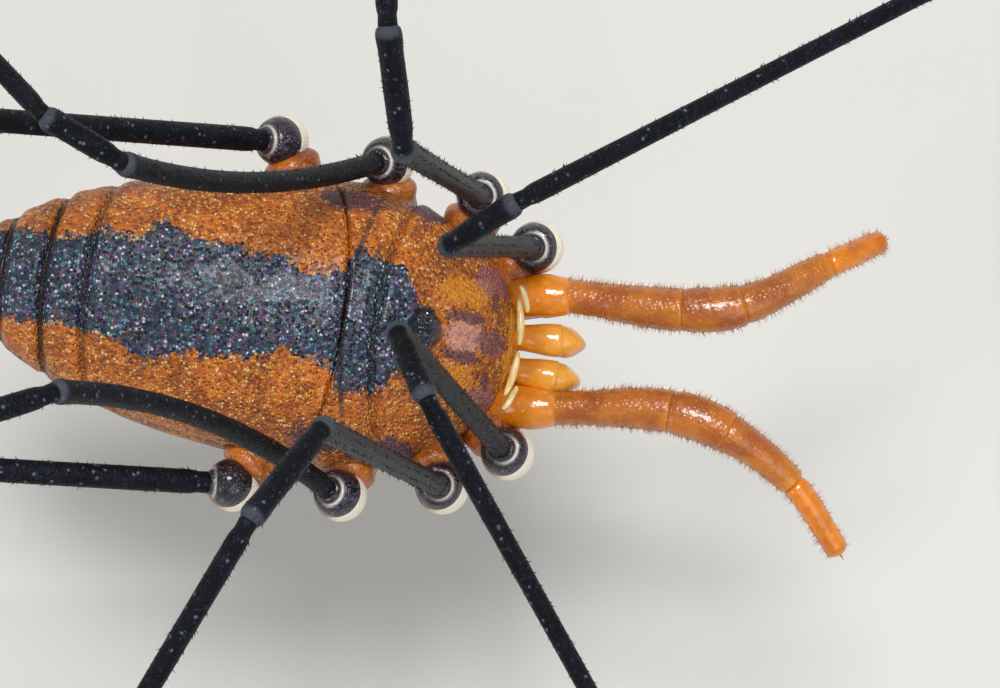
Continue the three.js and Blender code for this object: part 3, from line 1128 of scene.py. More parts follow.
@dataclass
class Body:
    """The oval body: the granular shell of the back, cut at the waist from the shell in front.

    Attributes:
        rear, front: ends of the oval along x.
        widest, half_width: where it is widest, and how wide from the midline.
        highest, mid_height: where it is highest, and its middle height.
        back_height, belly_depth: its height above the middle and its depth below it.
        squareness: power of the sine and cosine that draw its section; below 1 it is a little squared.
        waist, waist_slope: where the shells meet on the back, and how fast the cut runs rearward below.
        gap: how far the rear shell ends behind the waist.
        tuck: how far the front shell begins behind it, and how far that first stretch lies inside the oval.
        rear_lip, front_lip, front_lip_depth: length over which each shell's edge rounds off at the waist,
            and how deep the front one does; the rear one is as deep as long.
        tongue_rear, tongue_length, tongue_half_width: place and size of the tongue under the belly.
    """

    rear: float = -5.4
    front: float = 0.98
    widest: float = -1.0
    half_width: float = 1.62
    highest: float = -1.6
    mid_height: float = -0.15
    back_height: float = 1.12
    belly_depth: float = 1.08
    squareness: float = 0.92
    waist: float = -0.97
    waist_slope: float = 0.42
    gap: float = 0.012
    tuck: float = 0.1
    rear_lip: float = 0.07
    front_lip: float = 0.06
    front_lip_depth: float = 0.05
    tongue_rear: float = -1.6
    tongue_length: float = 1.7
    tongue_half_width: float = 0.38
    # Points round each ring of the shells, rings of each shell, and how many of those lie in its rounded end
    SIDES = 220
    REAR_RINGS, FRONT_RINGS, END_RINGS = 300, 200, 60
    # Lines across the back as (place, depth), how they curve towards the sides, and their width
    GROOVES = ((-4.83, 0.075), (-4.35, 0.09), (-3.88, 0.07), (-0.62, 0.06))
    GROOVE_CURVE = 0.11
    GROOVE_WIDTH = 0.045
    # Pleats beside each line: their distance from it, width, and height as a share of its depth
    PLEAT_AWAY, PLEAT_WIDTH, PLEAT_SHARE = 0.14, 0.08, 0.25
    # Slight unevenness, as (height, spacing, seed)
    UNEVEN = ((0.012, 0.9, 3), (0.004, 0.22, 4))
    # Fold along the flank: its place and width as the sine of the angle round the body, and its depth
    FOLD_AT, FOLD_WIDTH, FOLD_DEPTH = 0.12, 0.09, 0.05
    # Swellings of the front shell over the legs, as (x, y), their height and their width
    SWELLINGS = ((-0.2, 1.36), (0.42, 0.98))
    SWELLING_HEIGHT, SWELLING_WIDTH = 0.05, 0.2

    @staticmethod
    def fall_off(share: Array, bend: float, close: float) -> Array:
        """Fall-off from 1 in the middle to 0 at the end: (1 - share^bend)^close."""
        return (1 - np.clip(share, 0, 1) ** bend) ** close

    def width_at(self, x: Array) -> Array:
        """Half width at x: a rounded fall-off to the rear and a blunter one to the front.

        Args:
            x: places along the body.

        Returns:
            The half widths.
        """
        rear = self.fall_off((self.widest - x) / (self.widest - self.rear), 2.1, 0.62)
        front = self.fall_off((x - self.widest) / (self.front - self.widest), 1.5, 0.45)
        return self.half_width * np.where(x < self.widest, rear, front)

    def height_at(self, x: Array) -> Array:
        """Share of the full height at x: a rounded fall-off to each end.

        Args:
            x: places along the body.

        Returns:
            The shares.
        """
        rear = self.fall_off((self.highest - x) / (self.highest - self.rear), 2.1, 0.5)
        front = self.fall_off((x - self.highest) / (self.front - self.highest), 2.1, 0.5)
        return np.where(x < self.highest, rear, front)

    def oval(self, x: Array, turn: Array, inset: float | Array = 0.0) -> Array:
        """Points of the oval: y = width(x) cos t, z = middle + height(x) sin t, both a little squared.

        Args:
            x: places along the body.
            turn: angles round it, 0 to the left and a quarter turn on the back.
            inset: how far inside the oval.

        Returns:
            The points.
        """
        across = np.sign(np.cos(turn)) * np.abs(np.cos(turn)) ** self.squareness
        upward = np.sign(np.sin(turn)) * np.abs(np.sin(turn)) ** self.squareness
        tall = np.where(np.sin(turn) > 0, self.back_height, self.belly_depth)
        least = 0.001
        y = np.maximum(self.width_at(x) - inset, least) * across
        z = self.mid_height + np.maximum(tall * self.height_at(x) - inset, least) * upward
        return np.stack([x, y, z], axis=-1)

    def relief(self, points: Array, turn: Array) -> Array:
        """Height of the back's relief: grooves, pleats between them, the flank's fold and slight unevenness.

        Args:
            points: points of the oval.
            turn: angles round it.

        Returns:
            One height per point.
        """
        x, y = points[..., 0], points[..., 1]
        upper = smooth_step(np.sin(turn), -0.1, 0.35)
        bent = x - self.GROOVE_CURVE * y * y
        height = sum(size * ripple(points, spacing, seed) for size, spacing, seed in self.UNEVEN)
        for groove, depth in self.GROOVES:
            beside = np.abs(bent - groove) - self.PLEAT_AWAY
            height = height - depth * (0.35 + 0.65 * upper) * bell(bent - groove, self.GROOVE_WIDTH)
            height = height + self.PLEAT_SHARE * depth * upper * bell(beside, self.PLEAT_WIDTH)
        fold = bell(np.abs(np.sin(turn) - self.FOLD_AT), self.FOLD_WIDTH)
        return height - self.FOLD_DEPTH * fold * smooth_step(-x, 1.0, 1.6)

    def carapace_relief(self, points: Array, turn: Array) -> Array:
        """Relief of the front shell: a moat round the mound, ridges to the corners, swellings at the legs.

        Args:
            points: points of the oval.
            turn: angles round it.

        Returns:
            One height per point, with the back's relief in it.
        """
        x, y = points[..., 0], np.abs(points[..., 1])
        moat = bell(np.hypot(x - Head.mound_x, y) - 0.31, 0.07)
        ridge = bell(np.abs(y - 0.24 - 0.62 * (x - 0.15)) / 1.2, 0.05)
        height = -0.035 * moat
        height += 0.028 * ridge * smooth_step(x, 0.05, 0.25) * smooth_step(-x, -0.92, -0.75)
        for place_x, place_y in self.SWELLINGS:
            height += self.SWELLING_HEIGHT * bell(np.hypot(x - place_x, y - place_y), self.SWELLING_WIDTH)
        # A dip inwards of the second hip, and a notch in the middle of the front margin
        height -= 0.03 * bell(np.hypot((x - 0.12) * 1.6, y - 1.18), 0.12)
        height -= 0.03 * bell(y, 0.05) * smooth_step(x, 0.72, 0.9)
        return self.relief(points, turn) + height * smooth_step(np.sin(turn), 0.0, 0.4)

    def sheared(self, station: Array, blend: Array) -> tuple[Array, Array]:
        """Rings sheared towards the waist's slanting cut: x = station + slope (z - top of the back) blend.

        Args:
            station: where each ring meets the back.
            blend: one value per ring, from 0 for an upright one to 1 for one that lies along the cut.

        Returns:
            x and the angle round the body, each as (ring, place round the ring).
        """
        along, around = np.meshgrid(station, turns(self.SIDES), indexing="ij")
        top = self.mid_height + self.back_height * self.height_at(along)
        drop = self.oval(along, around)[..., 2] - top
        return along + self.waist_slope * drop * blend[:, None], around

    def shell(self, x: Array, turn: Array, inset: Array, relief: Relief, share: Array) -> Surface:
        """Rings of the oval, each point moved away from the body's middle line by the relief.

        Args:
            x: places along the body, as (ring, place round the ring).
            turn: angles round it.
            inset: how far inside the oval each ring lies.
            relief: function of the points and angles that gives a height.
            share: how much of that height each ring has.

        Returns:
            The closed shell.
        """
        points = self.oval(x, turn, inset[:, None])
        normal = points - np.stack([x, np.zeros_like(x), np.full_like(x, self.mid_height)], axis=-1)
        normal /= np.linalg.norm(normal, axis=-1)[..., None] + 1e-9
        return closed_grid(points + normal * (relief(points, turn) * share[:, None])[..., None])

    def rear_shell(self) -> Surface:
        """The opisthosoma: rings closer together in the rounded rear end, the last one on the waist's cut.

        Returns:
            The closed shell.
        """
        rounded = 0.12
        share = np.concatenate([
            (1 - np.cos(np.linspace(0.02, math.pi / 2, self.END_RINGS))) * rounded,
            np.linspace(rounded, 1, self.REAR_RINGS - self.END_RINGS)[1:],
        ])
        station = self.rear + (self.waist - self.gap - self.rear) * share
        x, turn = self.sheared(station, smooth_step(share, 0.35, 1.0))
        lip = (1 - share) * (self.waist - self.rear) / self.rear_lip
        inset = self.rear_lip * (1 - quarter_round(lip))
        return self.shell(x, turn, inset, self.relief, smooth_step(share, 0.0, 0.05))

    def front_shell(self) -> Surface:
        """The prosoma: rings from the waist to the blunt front, the first ones tucked under the rear shell.

        Returns:
            The closed shell.
        """
        straight, blunt = 0.8, 0.2
        share = np.concatenate([
            np.linspace(0, straight, self.FRONT_RINGS - self.END_RINGS),
            straight + blunt * np.sin(np.linspace(0, math.pi / 2, self.END_RINGS + 2))[1:-1],
        ])
        start = self.waist - self.tuck
        station = start + (self.front - start) * share
        x, turn = self.sheared(station, smooth_step(1 - share, 0.2, 1.0))
        lip = np.clip((share * (self.front - start) - self.tuck) / self.front_lip, -1, 1)
        inset = self.front_lip_depth * (1 - quarter_round(lip)) + self.tuck * np.clip(-lip, 0, 1)
        return self.shell(x, turn, inset, self.carapace_relief, 1 - smooth_step(share, 0.97, 1.0))

    def operculum(self) -> Surface:
        """The flat tongue that reaches forward between the coxae: its middle line follows the belly.

        Returns:
            The surface.
        """
        t = np.linspace(0, 1, 60)
        x = self.tongue_rear + self.tongue_length * t
        below = self.mid_height - self.belly_depth * self.height_at(x) + 0.05
        path = np.stack([x, np.zeros_like(t), below], axis=-1)
        radius = self.tongue_half_width * (1 - 0.35 * smooth_step(t, 0.2, 0.9))
        limb = Limb(path, capped(self.tongue_length * t, radius, 0.3), LEFTWARD, 0.36)
        return limb.skin(64, pale=0.1 * bell(t - 0.95, 0.1))

    def top_at(self, x: float) -> float:
        """Height of the back on the midline."""
        return float(self.mid_height + self.back_height * self.height_at(np.array(x)))

    def dress(self, finishes: Finishes) -> None:
        """Places the two shells and the tongue.

        Args:
            finishes: the materials.
        """
        place_piece("opisthosoma_shell", self.rear_shell(), finishes.back, "back_shell", ["opisthosoma"])
        place_piece("prosoma_shell", self.front_shell(), finishes.back, "front_shell", ["prosoma"])
        place_piece("belly_tongue", self.operculum(), finishes.coxa, "front_shell", ["prosoma"])


def ball(centre: Array, radius: float, sides: int, pale: Callable[[Array], Array] | None = None) -> Surface:
    """A ball: centre + radius times the unit sphere.

    Args:
        centre: its middle.
        radius: its radius.
        sides: rings, and points round each.
        pale: optional function of the unit sphere's points that gives the mark "pale".

    Returns:
        The surface.
    """
    unit = unit_sphere(sides, sides, 0.05)
    marks = {"pale": pale(unit)} if pale is not None else {}
    return closed_grid(centre + unit * radius, marks)


@dataclass
class Head:
    """Eye mound, eyes, and the pale plates over the jaws.

    Attributes:
        body: the body they sit on.
        mound_x, mound_length, mound_width, mound_height: the mound's place and half sizes.
        eye_radius: size of an eye.
        eye_ahead, eye_side, eye_rise: how far it lies before the mound's middle, from the midline, and above
            the back.
        plate_radius: half thickness of a pale plate.
    """

    body: Body
    mound_x: float = -0.08
    mound_length: float = 0.2
    mound_width: float = 0.235
    mound_height: float = 0.3
    eye_radius: float = 0.1
    eye_ahead: float = 0.02
    eye_side: float = 0.16
    eye_rise: float = 0.08
    plate_radius: float = 0.046
    # Inner and outer end of each plate, with y outwards
    PLATE_SPANS = (((0.985, 0.04, 0.1), (0.905, 0.54, 0.08)), ((1.02, 0.42, 0.06), (0.9, 0.7, 0.13)))

    def mound(self) -> Surface:
        """A dome with a furrow along its crown and a rim of small tubercles over each eye.

        Its size is 1, less 0.16 in the furrow and up to 0.07 more at each tubercle, which a cosine sets.

        Returns:
            The surface.
        """
        base = self.body.top_at(self.mound_x) - 0.04
        unit = unit_sphere(70, 90, 0.04)
        aside, up = np.abs(unit[..., 1]), unit[..., 2]
        size = 1 - 0.16 * bell(aside, 0.2) * smooth_step(up, 0.3, 0.9)
        rim = bell(aside - 0.42, 0.1) * smooth_step(up, 0.35, 0.7)
        size += 0.07 * rim * np.clip(np.cos(unit[..., 0] * 16), 0, 1)
        half = np.array([self.mound_length, self.mound_width, self.mound_height])
        return closed_grid(np.array([self.mound_x, 0, base]) + unit * size[..., None] * half)

    def lens(self, side: Side) -> Surface:
        """One clear, bulging lens on the side of the mound."""
        height = self.body.top_at(self.mound_x) + self.eye_rise
        centre = np.array([self.mound_x + self.eye_ahead, side.value * self.eye_side, height])
        return ball(centre, self.eye_radius, 40)

    def plates(self) -> Surface:
        """Two thin pale plates on each side: one along the front margin, one on the palp's root before it.

        Each is a rod whose place goes from its inner to its outer end, x as the square of the share.

        Returns:
            All four, joined.
        """
        plates = []
        for side in Side:
            for inner, outer in self.PLATE_SPANS:
                t = np.linspace(0, 1, 40)
                path = np.stack([
                    inner[0] + (outer[0] - inner[0]) * t ** 2,
                    side.value * (inner[1] + (outer[1] - inner[1]) * t),
                    inner[2] + (outer[2] - inner[2]) * t,
                ], axis=-1)
                radius = self.plate_radius * np.sin(math.pi * (0.04 + 0.92 * t)) ** 0.45
                plates.append(Limb(path, radius, np.array([1.0, 0, 0]), 1.2).skin(24))
        return joined(plates)

    def dress(self, finishes: Finishes) -> None:
        """Places the mound and the plates."""
        place_piece("eye_mound", self.mound(), finishes.mound, "black_gloss", ["ocularium"])
        place_piece("front_plates", self.plates(), finishes.membrane, "amber", ["prosoma"])

    def dress_eye(self, side: Side, finishes: Finishes) -> None:
        """Places the lens of one side."""
        place_piece(f"lens_{side.label}", self.lens(side), finishes.eye, "eye", [f"eye_{side.label}"])


@dataclass
class Jaws:
    """Chelicerae: smooth amber basal segments that point forward and hands that hang from them.

    Attributes:
        offset: distance of each from the middle between them.
        shift: how far that middle lies from the animal's midline.
        radius: half width of a basal segment.
        start, wrist: where the basal segment begins and ends.
        height: height of the wrist.
        hand_radius, hand_taper: half width of a hand at the wrist, and how much less it is at its lower end.
        finger_radius: half width of a finger at its root.
    """

    offset: float = 0.21
    shift: float = -0.045
    radius: float = 0.185
    start: float = 0.72
    wrist: float = 1.475
    height: float = 0.0
    hand_radius: float = 0.178
    hand_taper: float = 0.078
    finger_radius: float = 0.055
    # Which way each finger bows, forward or back, and its length
    FINGERS = ((1, 0.3), (-1, 0.26))

    def basal(self, side: Side) -> Surface:
        """Basal segment: an oval limb, narrow where it leaves the head and swollen before the wrist.

        Args:
            side: which jaw.

        Returns:
            The surface.
        """
        along = spread(0, self.wrist - self.start, 30)
        share = along / along[-1]
        path = np.stack([
            self.start + along,
            self.shift + side.value * (self.offset - 0.04 * (1 - share)),
            self.height - 0.06 + 0.07 * smooth_step(share, 0.1, 0.8) - 0.02 * share,
        ], axis=-1)
        radius = self.radius * (0.8 + 0.2 * smooth_step(share, 0.35, 0.85))
        limb = Limb(path, capped(along, radius, 0.04), LEFTWARD, 0.92)
        return limb.skin(40, pale=0.1 + 0.25 * smooth_step(share, 0.5, 0.9))

    def palm(self, side: Side) -> tuple[Surface, Array]:
        """Palm: bends down at the wrist along a quadratic curve, each ring drawn to a blunt point in front.

        A ring's point at the angle v is middle + half width (1 - 0.28 f) cos v * side + half width
        (1 + 0.25 f) sin v * front, where f is the square of sin v in front and 0 behind.

        Args:
            side: which jaw.

        Returns:
            Its closed surface, and the lower end of its middle line.
        """
        t = np.linspace(0, 1, 60)
        start, elbow, end = np.array([
            [self.wrist - 0.2, self.height - 0.02],
            [self.wrist + 0.15, self.height + 0.01],
            [self.wrist + 0.04, self.height - 0.62],
        ])
        first, middle, last = ((1 - t) ** 2)[:, None], (2 * t * (1 - t))[:, None], (t ** 2)[:, None]
        x, z = (first * start + middle * elbow + last * end).T
        path = np.stack([x, np.full_like(t, self.shift + side.value * self.offset), z], axis=-1)
        limb = Limb(path, np.ones_like(t), LEFTWARD)
        radius = self.hand_radius - self.hand_taper * smooth_step(t, 0.4, 1.0)
        half = capped(limb.along, radius, 0.06)[:, None]
        turn = turns(40)
        over = limb.over * np.where(limb.over[:, :1] < 0, -1, 1)
        ahead = np.clip(np.sin(turn), 0, 1) ** 2 * smooth_step(t, 0.15, 0.5)[:, None]
        wide = (half * np.cos(turn) * (1 - 0.28 * ahead))[..., None] * limb.side[:, None]
        deep = (half * np.sin(turn) * (1 + 0.25 * ahead))[..., None] * over[:, None]
        pale = (0.1 + 0.35 * bell(t - 0.3, 0.25))[:, None]
        return closed_grid(path[:, None] + wide + deep, {"pale": pale}), path[-1]

    def hand(self, side: Side) -> Surface:
        """Hand: the palm, with two fingers below that bow apart by a sine and taper to a point.

        Args:
            side: which jaw.

        Returns:
            The joined surfaces.
        """
        palm, end = self.palm(side)
        parts = [palm]
        for forward, length in self.FINGERS:
            s = np.linspace(0, 1, 22)
            root = end + np.array([0.02 * forward, 0, 0.08])
            path = np.stack([
                root[0] + forward * (0.06 * np.sin(math.pi * s)) + 0.02 * forward,
                np.full_like(s, root[1]),
                root[2] - length * s,
            ], axis=-1)
            finger = Limb(path, self.finger_radius * (1 - s) ** 0.6 + 0.004, LEFTWARD)
            parts.append(finger.skin(16, pale=0 * s))
        return joined(parts)

    def dress(self, side: Side, finishes: Finishes) -> None:
        """Places one jaw.

        Args:
            side: which one.
            finishes: the materials.
        """
        for part, surface in (("base", self.basal(side)), ("hand", self.hand(side))):
            name = f"{side.label}_{part}"
            place_piece(f"jaw_{name}", surface, finishes.amber, "amber", [f"chelicera_{name}"])


# Limbs


@dataclass
class Palp:
    """One palp: a leg-like feeler of five segments, held forward.

    Attributes:
        side: which one.
        joints: base of the femur, then the far end of each segment, with y measured outwards.
        root: where it leaves the underside of the front.
        elbow: a point that its base passes on the way to the femur.
    """

    side: Side
    joints: tuple[Place, ...]
    root: Place = (0.72, 0.52, -0.3)
    elbow: Place = (1.05, 0.62, -0.1)
    NAMES = ("femur", "patella", "tibia", "tarsus")
    # Radius of the skin at shares of each segment's length
    RADII_AT = (0, 0.33, 0.67, 1)
    RADII = ((0.185, 0.192, 0.228, 0.243), (0.243, 0.252, 0.246, 0.232), (0.23, 0.192, 0.176, 0.154),
             (0.144, 0.14, 0.134, 0.126))
    # How far each segment is tucked into the one before, and spacing of its rings
    SEAM = 0.04
    STEP = 0.025
    # Long bristles below and at the sides, short ones on top, and how many long ones each segment has
    LONG = Bristle(0.065, 0.011, 0.22, (0.85 * math.pi, 2.15 * math.pi))
    SHORT = Bristle(0.045, 0.009, 0.3, (0.15 * math.pi, 0.85 * math.pi))
    BRISTLES = (520, 240, 300, 260)

    def __post_init__(self) -> None:
        """Lays one smooth curve through the joints and finds how far along it each joint lies."""
        stops = np.array([self.point(place) for place in self.joints])
        self.curve = smooth_path(stops, 600)
        self.along = distances(self.curve)
        nearest = [np.argmin(np.linalg.norm(self.curve - stop, axis=1)) for stop in stops]
        self.marks = [float(self.along[place]) for place in nearest]

    def point(self, place: Place) -> Array:
        """A joint on this palp's side."""
        return np.array([place[0], self.side.value * place[1], place[2]])

    def segment(self, number: int) -> Limb:
        """One segment: its share of the palp's curve, its near end tucked into the segment before.

        Args:
            number: 0 for the femur up to 3 for the tarsus.

        Returns:
            The limb.
        """
        start, end = self.marks[number] - self.SEAM * (number > 0), self.marks[number + 1]
        along = spread(0, end - start, max(int((end - start) / self.STEP), 20), 9)
        share = along / along[-1]
        path = points_at(start + along, self.along, self.curve)
        radius = np.interp(share, self.RADII_AT, self.RADII[number])
        radius = radius - 0.012 * bell(along - self.SEAM, 0.025) * (number > 0)
        across = np.cross(unit_vector(path[-1] - path[0]), UP)
        return Limb(path, capped(along, radius, 0.1 if number == 3 else 0.03), across, 0.94)

    def base(self) -> Surface:
        """Coxa and trochanter: a short swollen limb with a faint seam between the two.

        Returns:
            The surface.
        """
        stops = np.array([self.point(self.root), self.point(self.elbow), self.curve[28]])
        path = smooth_path(stops, 60)
        along = distances(path)
        share = along / along[-1]
        radius = 0.25 - 0.05 * smooth_step(share, 0.6, 1.0) - 0.006 * bell(share - 0.55, 0.03)
        limb = Limb(path, capped(along, radius, 0.13), LEFTWARD)
        return limb.skin(40, pale=0.08 * smooth_step(share, 0.4, 0.8))

    @staticmethod
    def tubercles(along: Array, turn: Array) -> Array:
        """Low tubercles: the parts above 0 of the product of a wavy sine along the limb and one round it.

        Args:
            along: distances along the limb.
            turn: angles round it.

        Returns:
            Heights above the skin.
        """
        knobs = np.clip(np.sin(along * 48 + 3 * np.sin(turn * 5)) * np.sin(turn * 14 + along * 9), 0, 1)
        return 0.006 * knobs * smooth_step(along, 0.05, 0.2)

    def skin(self, number: int) -> Surface:
        """A segment's surface, uneven with low tubercles, a little paler at its far end.

        The tibia is paler from its first third on, and the femur in its first quarter.

        Args:
            number: 0 for the femur up to 3 for the tarsus.

        Returns:
            The surface.
        """
        limb = self.segment(number)
        share = limb.along / limb.along[-1]
        pale = 0.3 * smooth_step(share, 0.9, 1.0) + 0.35 * (number == 2) * smooth_step(share, 0.3, 1.0)
        pale = pale + 0.3 * (number == 0) * smooth_step(-share, -0.25, 0.0)
        return limb.skin(72, self.tubercles, pale=pale)

    def claw(self) -> Surface:
        """The small claw at the tip: a short hook that curves down.

        Returns:
            The surface.
        """
        start, end = self.point(self.joints[-2]), self.point(self.joints[-1])
        way = unit_vector(end - start)
        t = np.linspace(0, 1, 14)
        path = end + way * (0.13 * t - 0.05)[:, None]
        path[:, 2] -= 0.06 * t ** 2
        return Limb(path, 0.022 * (1 - t) + 0.002, np.cross(way, UP)).skin(10, pale=0 * t)

    def coat(self) -> Surface:
        """Short pale bristles all over, longer below, leaning to the tip.

        Returns:
            All of them, joined.
        """
        tufts = []
        for number, count in enumerate(self.BRISTLES):
            limb = self.segment(number)
            row = number + 4 * (self.side is Side.RIGHT)
            seed = 40 + row
            tufts.append(self.LONG.grow(limb, count, seed, row, 8))
            tufts.append(self.SHORT.grow(limb, count // 5, seed + 20, row, 8))
        return joined(tufts)

    def dress(self, finishes: Finishes) -> None:
        """Places the palp segment by segment, with its claw.

        Args:
            finishes: the materials.
        """
        prefix = f"palp_{self.side.label}"
        place_piece(f"{prefix}_base", self.base(), finishes.amber, "amber", [f"{prefix}_trochanter"])
        for number, segment in enumerate(self.NAMES):
            finish, slot = (finishes.amber, "amber") if segment == "tarsus" else (finishes.russet, "russet")
            place_piece(f"{prefix}_{segment}_skin", self.skin(number), finish, slot, [f"{prefix}_{segment}"])
        place_piece(f"{prefix}_claw", self.claw(), finishes.russet, "russet", [f"{prefix}_tarsus"])


@dataclass(frozen=True)
class LegPair:
    """Sizes of one pair of legs, in millimetres, and how each leg is held.

    Attributes:
        number: 1 for the front pair up to 4.
        coxa_x: where the coxae leave the underside of the front shell.
        hip: place of the trochanter, x and distance from the midline.
        tarsus_rise: height of the tarsus's start above the floor, as a share of its length.
        femur, patella, tibia, metatarsus, tarsus: the segments' lengths.
        knees: for each side the direction of the femur, with y outwards.
        azimuths: for each side the direction of the outer leg from straight ahead, in degrees.
        dips: for each side the tibia's slope down, in degrees.
        bows: for each side how far the middle of the femur leans towards the midline.
        thickness: the upper segments' thickness as a multiple of the usual one.
    """

    number: int
    coxa_x: float
    hip: tuple[float, float]
    tarsus_rise: float
    femur: float
    patella: float
    tibia: float
    metatarsus: float
    tarsus: float
    knees: dict[Side, Place]
    azimuths: dict[Side, float]
    dips: dict[Side, float]
    bows: dict[Side, float] = field(default_factory=dict)
    thickness: float = 1.0


LEG_PAIRS = (
    LegPair(1, 0.42, (FIRST_HIP_X, 1.16), 0.42, 6.6, 1.0, 5.8, 7.4, 11.5,
            {Side.LEFT: (-0.82, -0.79, 6.5), Side.RIGHT: (-1.23, -0.55, 6.45)},
            {Side.LEFT: 38, Side.RIGHT: 52}, {Side.LEFT: 25, Side.RIGHT: 25}),
    LegPair(2, 0.0, (0.33, 1.64), 0.34, 11.4, 1.4, 10.6, 11.8, 20.0,
            {Side.LEFT: (-0.64, -0.89, 11.35), Side.RIGHT: (-1.05, 0.5, 11.35)},
            {Side.LEFT: 101, Side.RIGHT: 114}, {Side.LEFT: 22, Side.RIGHT: 22}),
    LegPair(3, -0.48, (-0.78, 1.88), 0.38, 6.4, 1.0, 5.6, 8.0, 12.0,
            {Side.LEFT: (-2.6, -1.05, 5.75), Side.RIGHT: (-2.95, -0.2, 5.65)},
            {Side.LEFT: 140, Side.RIGHT: 137}, {Side.LEFT: 24, Side.RIGHT: 24},
            {Side.LEFT: 0.22, Side.RIGHT: 0.28}),
    LegPair(4, -0.98, (-1.99, 1.94), 0.22, 9.3, 1.2, 8.2, 12.0, 16.5,
            {Side.LEFT: (-6.71, -1.18, 6.33), Side.RIGHT: (-8.84, 0.95, 2.7)},
            {Side.LEFT: 160, Side.RIGHT: 158}, {Side.LEFT: 12, Side.RIGHT: 8}, thickness=1.12),
)


def smooth_path(stops: Array, count: int) -> Array:
    """A centripetal Catmull-Rom curve through the stops, evenly spaced along its length.

    Between two stops the curve is the cubic whose slopes there are the stops' divided differences over knots
    spaced by the square root of the stops' distances.

    Args:
        stops: the points it passes.
        count: how many points come back.

    Returns:
        The curve's points.
    """
    full = np.concatenate([[2 * stops[0] - stops[1]], stops, [2 * stops[-1] - stops[-2]]])
    pieces = []
    t = np.linspace(0, 1, 200, endpoint=False)[:, None]
    for a, b, c, d in zip(full[:-3], full[1:-2], full[2:-1], full[3:]):
        k1, k2, k3 = (math.sqrt(np.linalg.norm(q - p)) for p, q in ((a, b), (b, c), (c, d)))
        slope_b = ((b - a) / k1 - (c - a) / (k1 + k2) + (c - b) / k2) * k2
        slope_c = ((c - b) / k2 - (d - b) / (k2 + k3) + (d - c) / k3) * k2
        pieces.append(b + t * slope_b + t ** 2 * (-3 * b + 3 * c - 2 * slope_b - slope_c)
                      + t ** 3 * (2 * b - 2 * c + slope_b + slope_c))
    dense = np.concatenate([*pieces, stops[-1:]])
    lengths = distances(dense)
    return points_at(np.linspace(0, lengths[-1], count), lengths, dense)


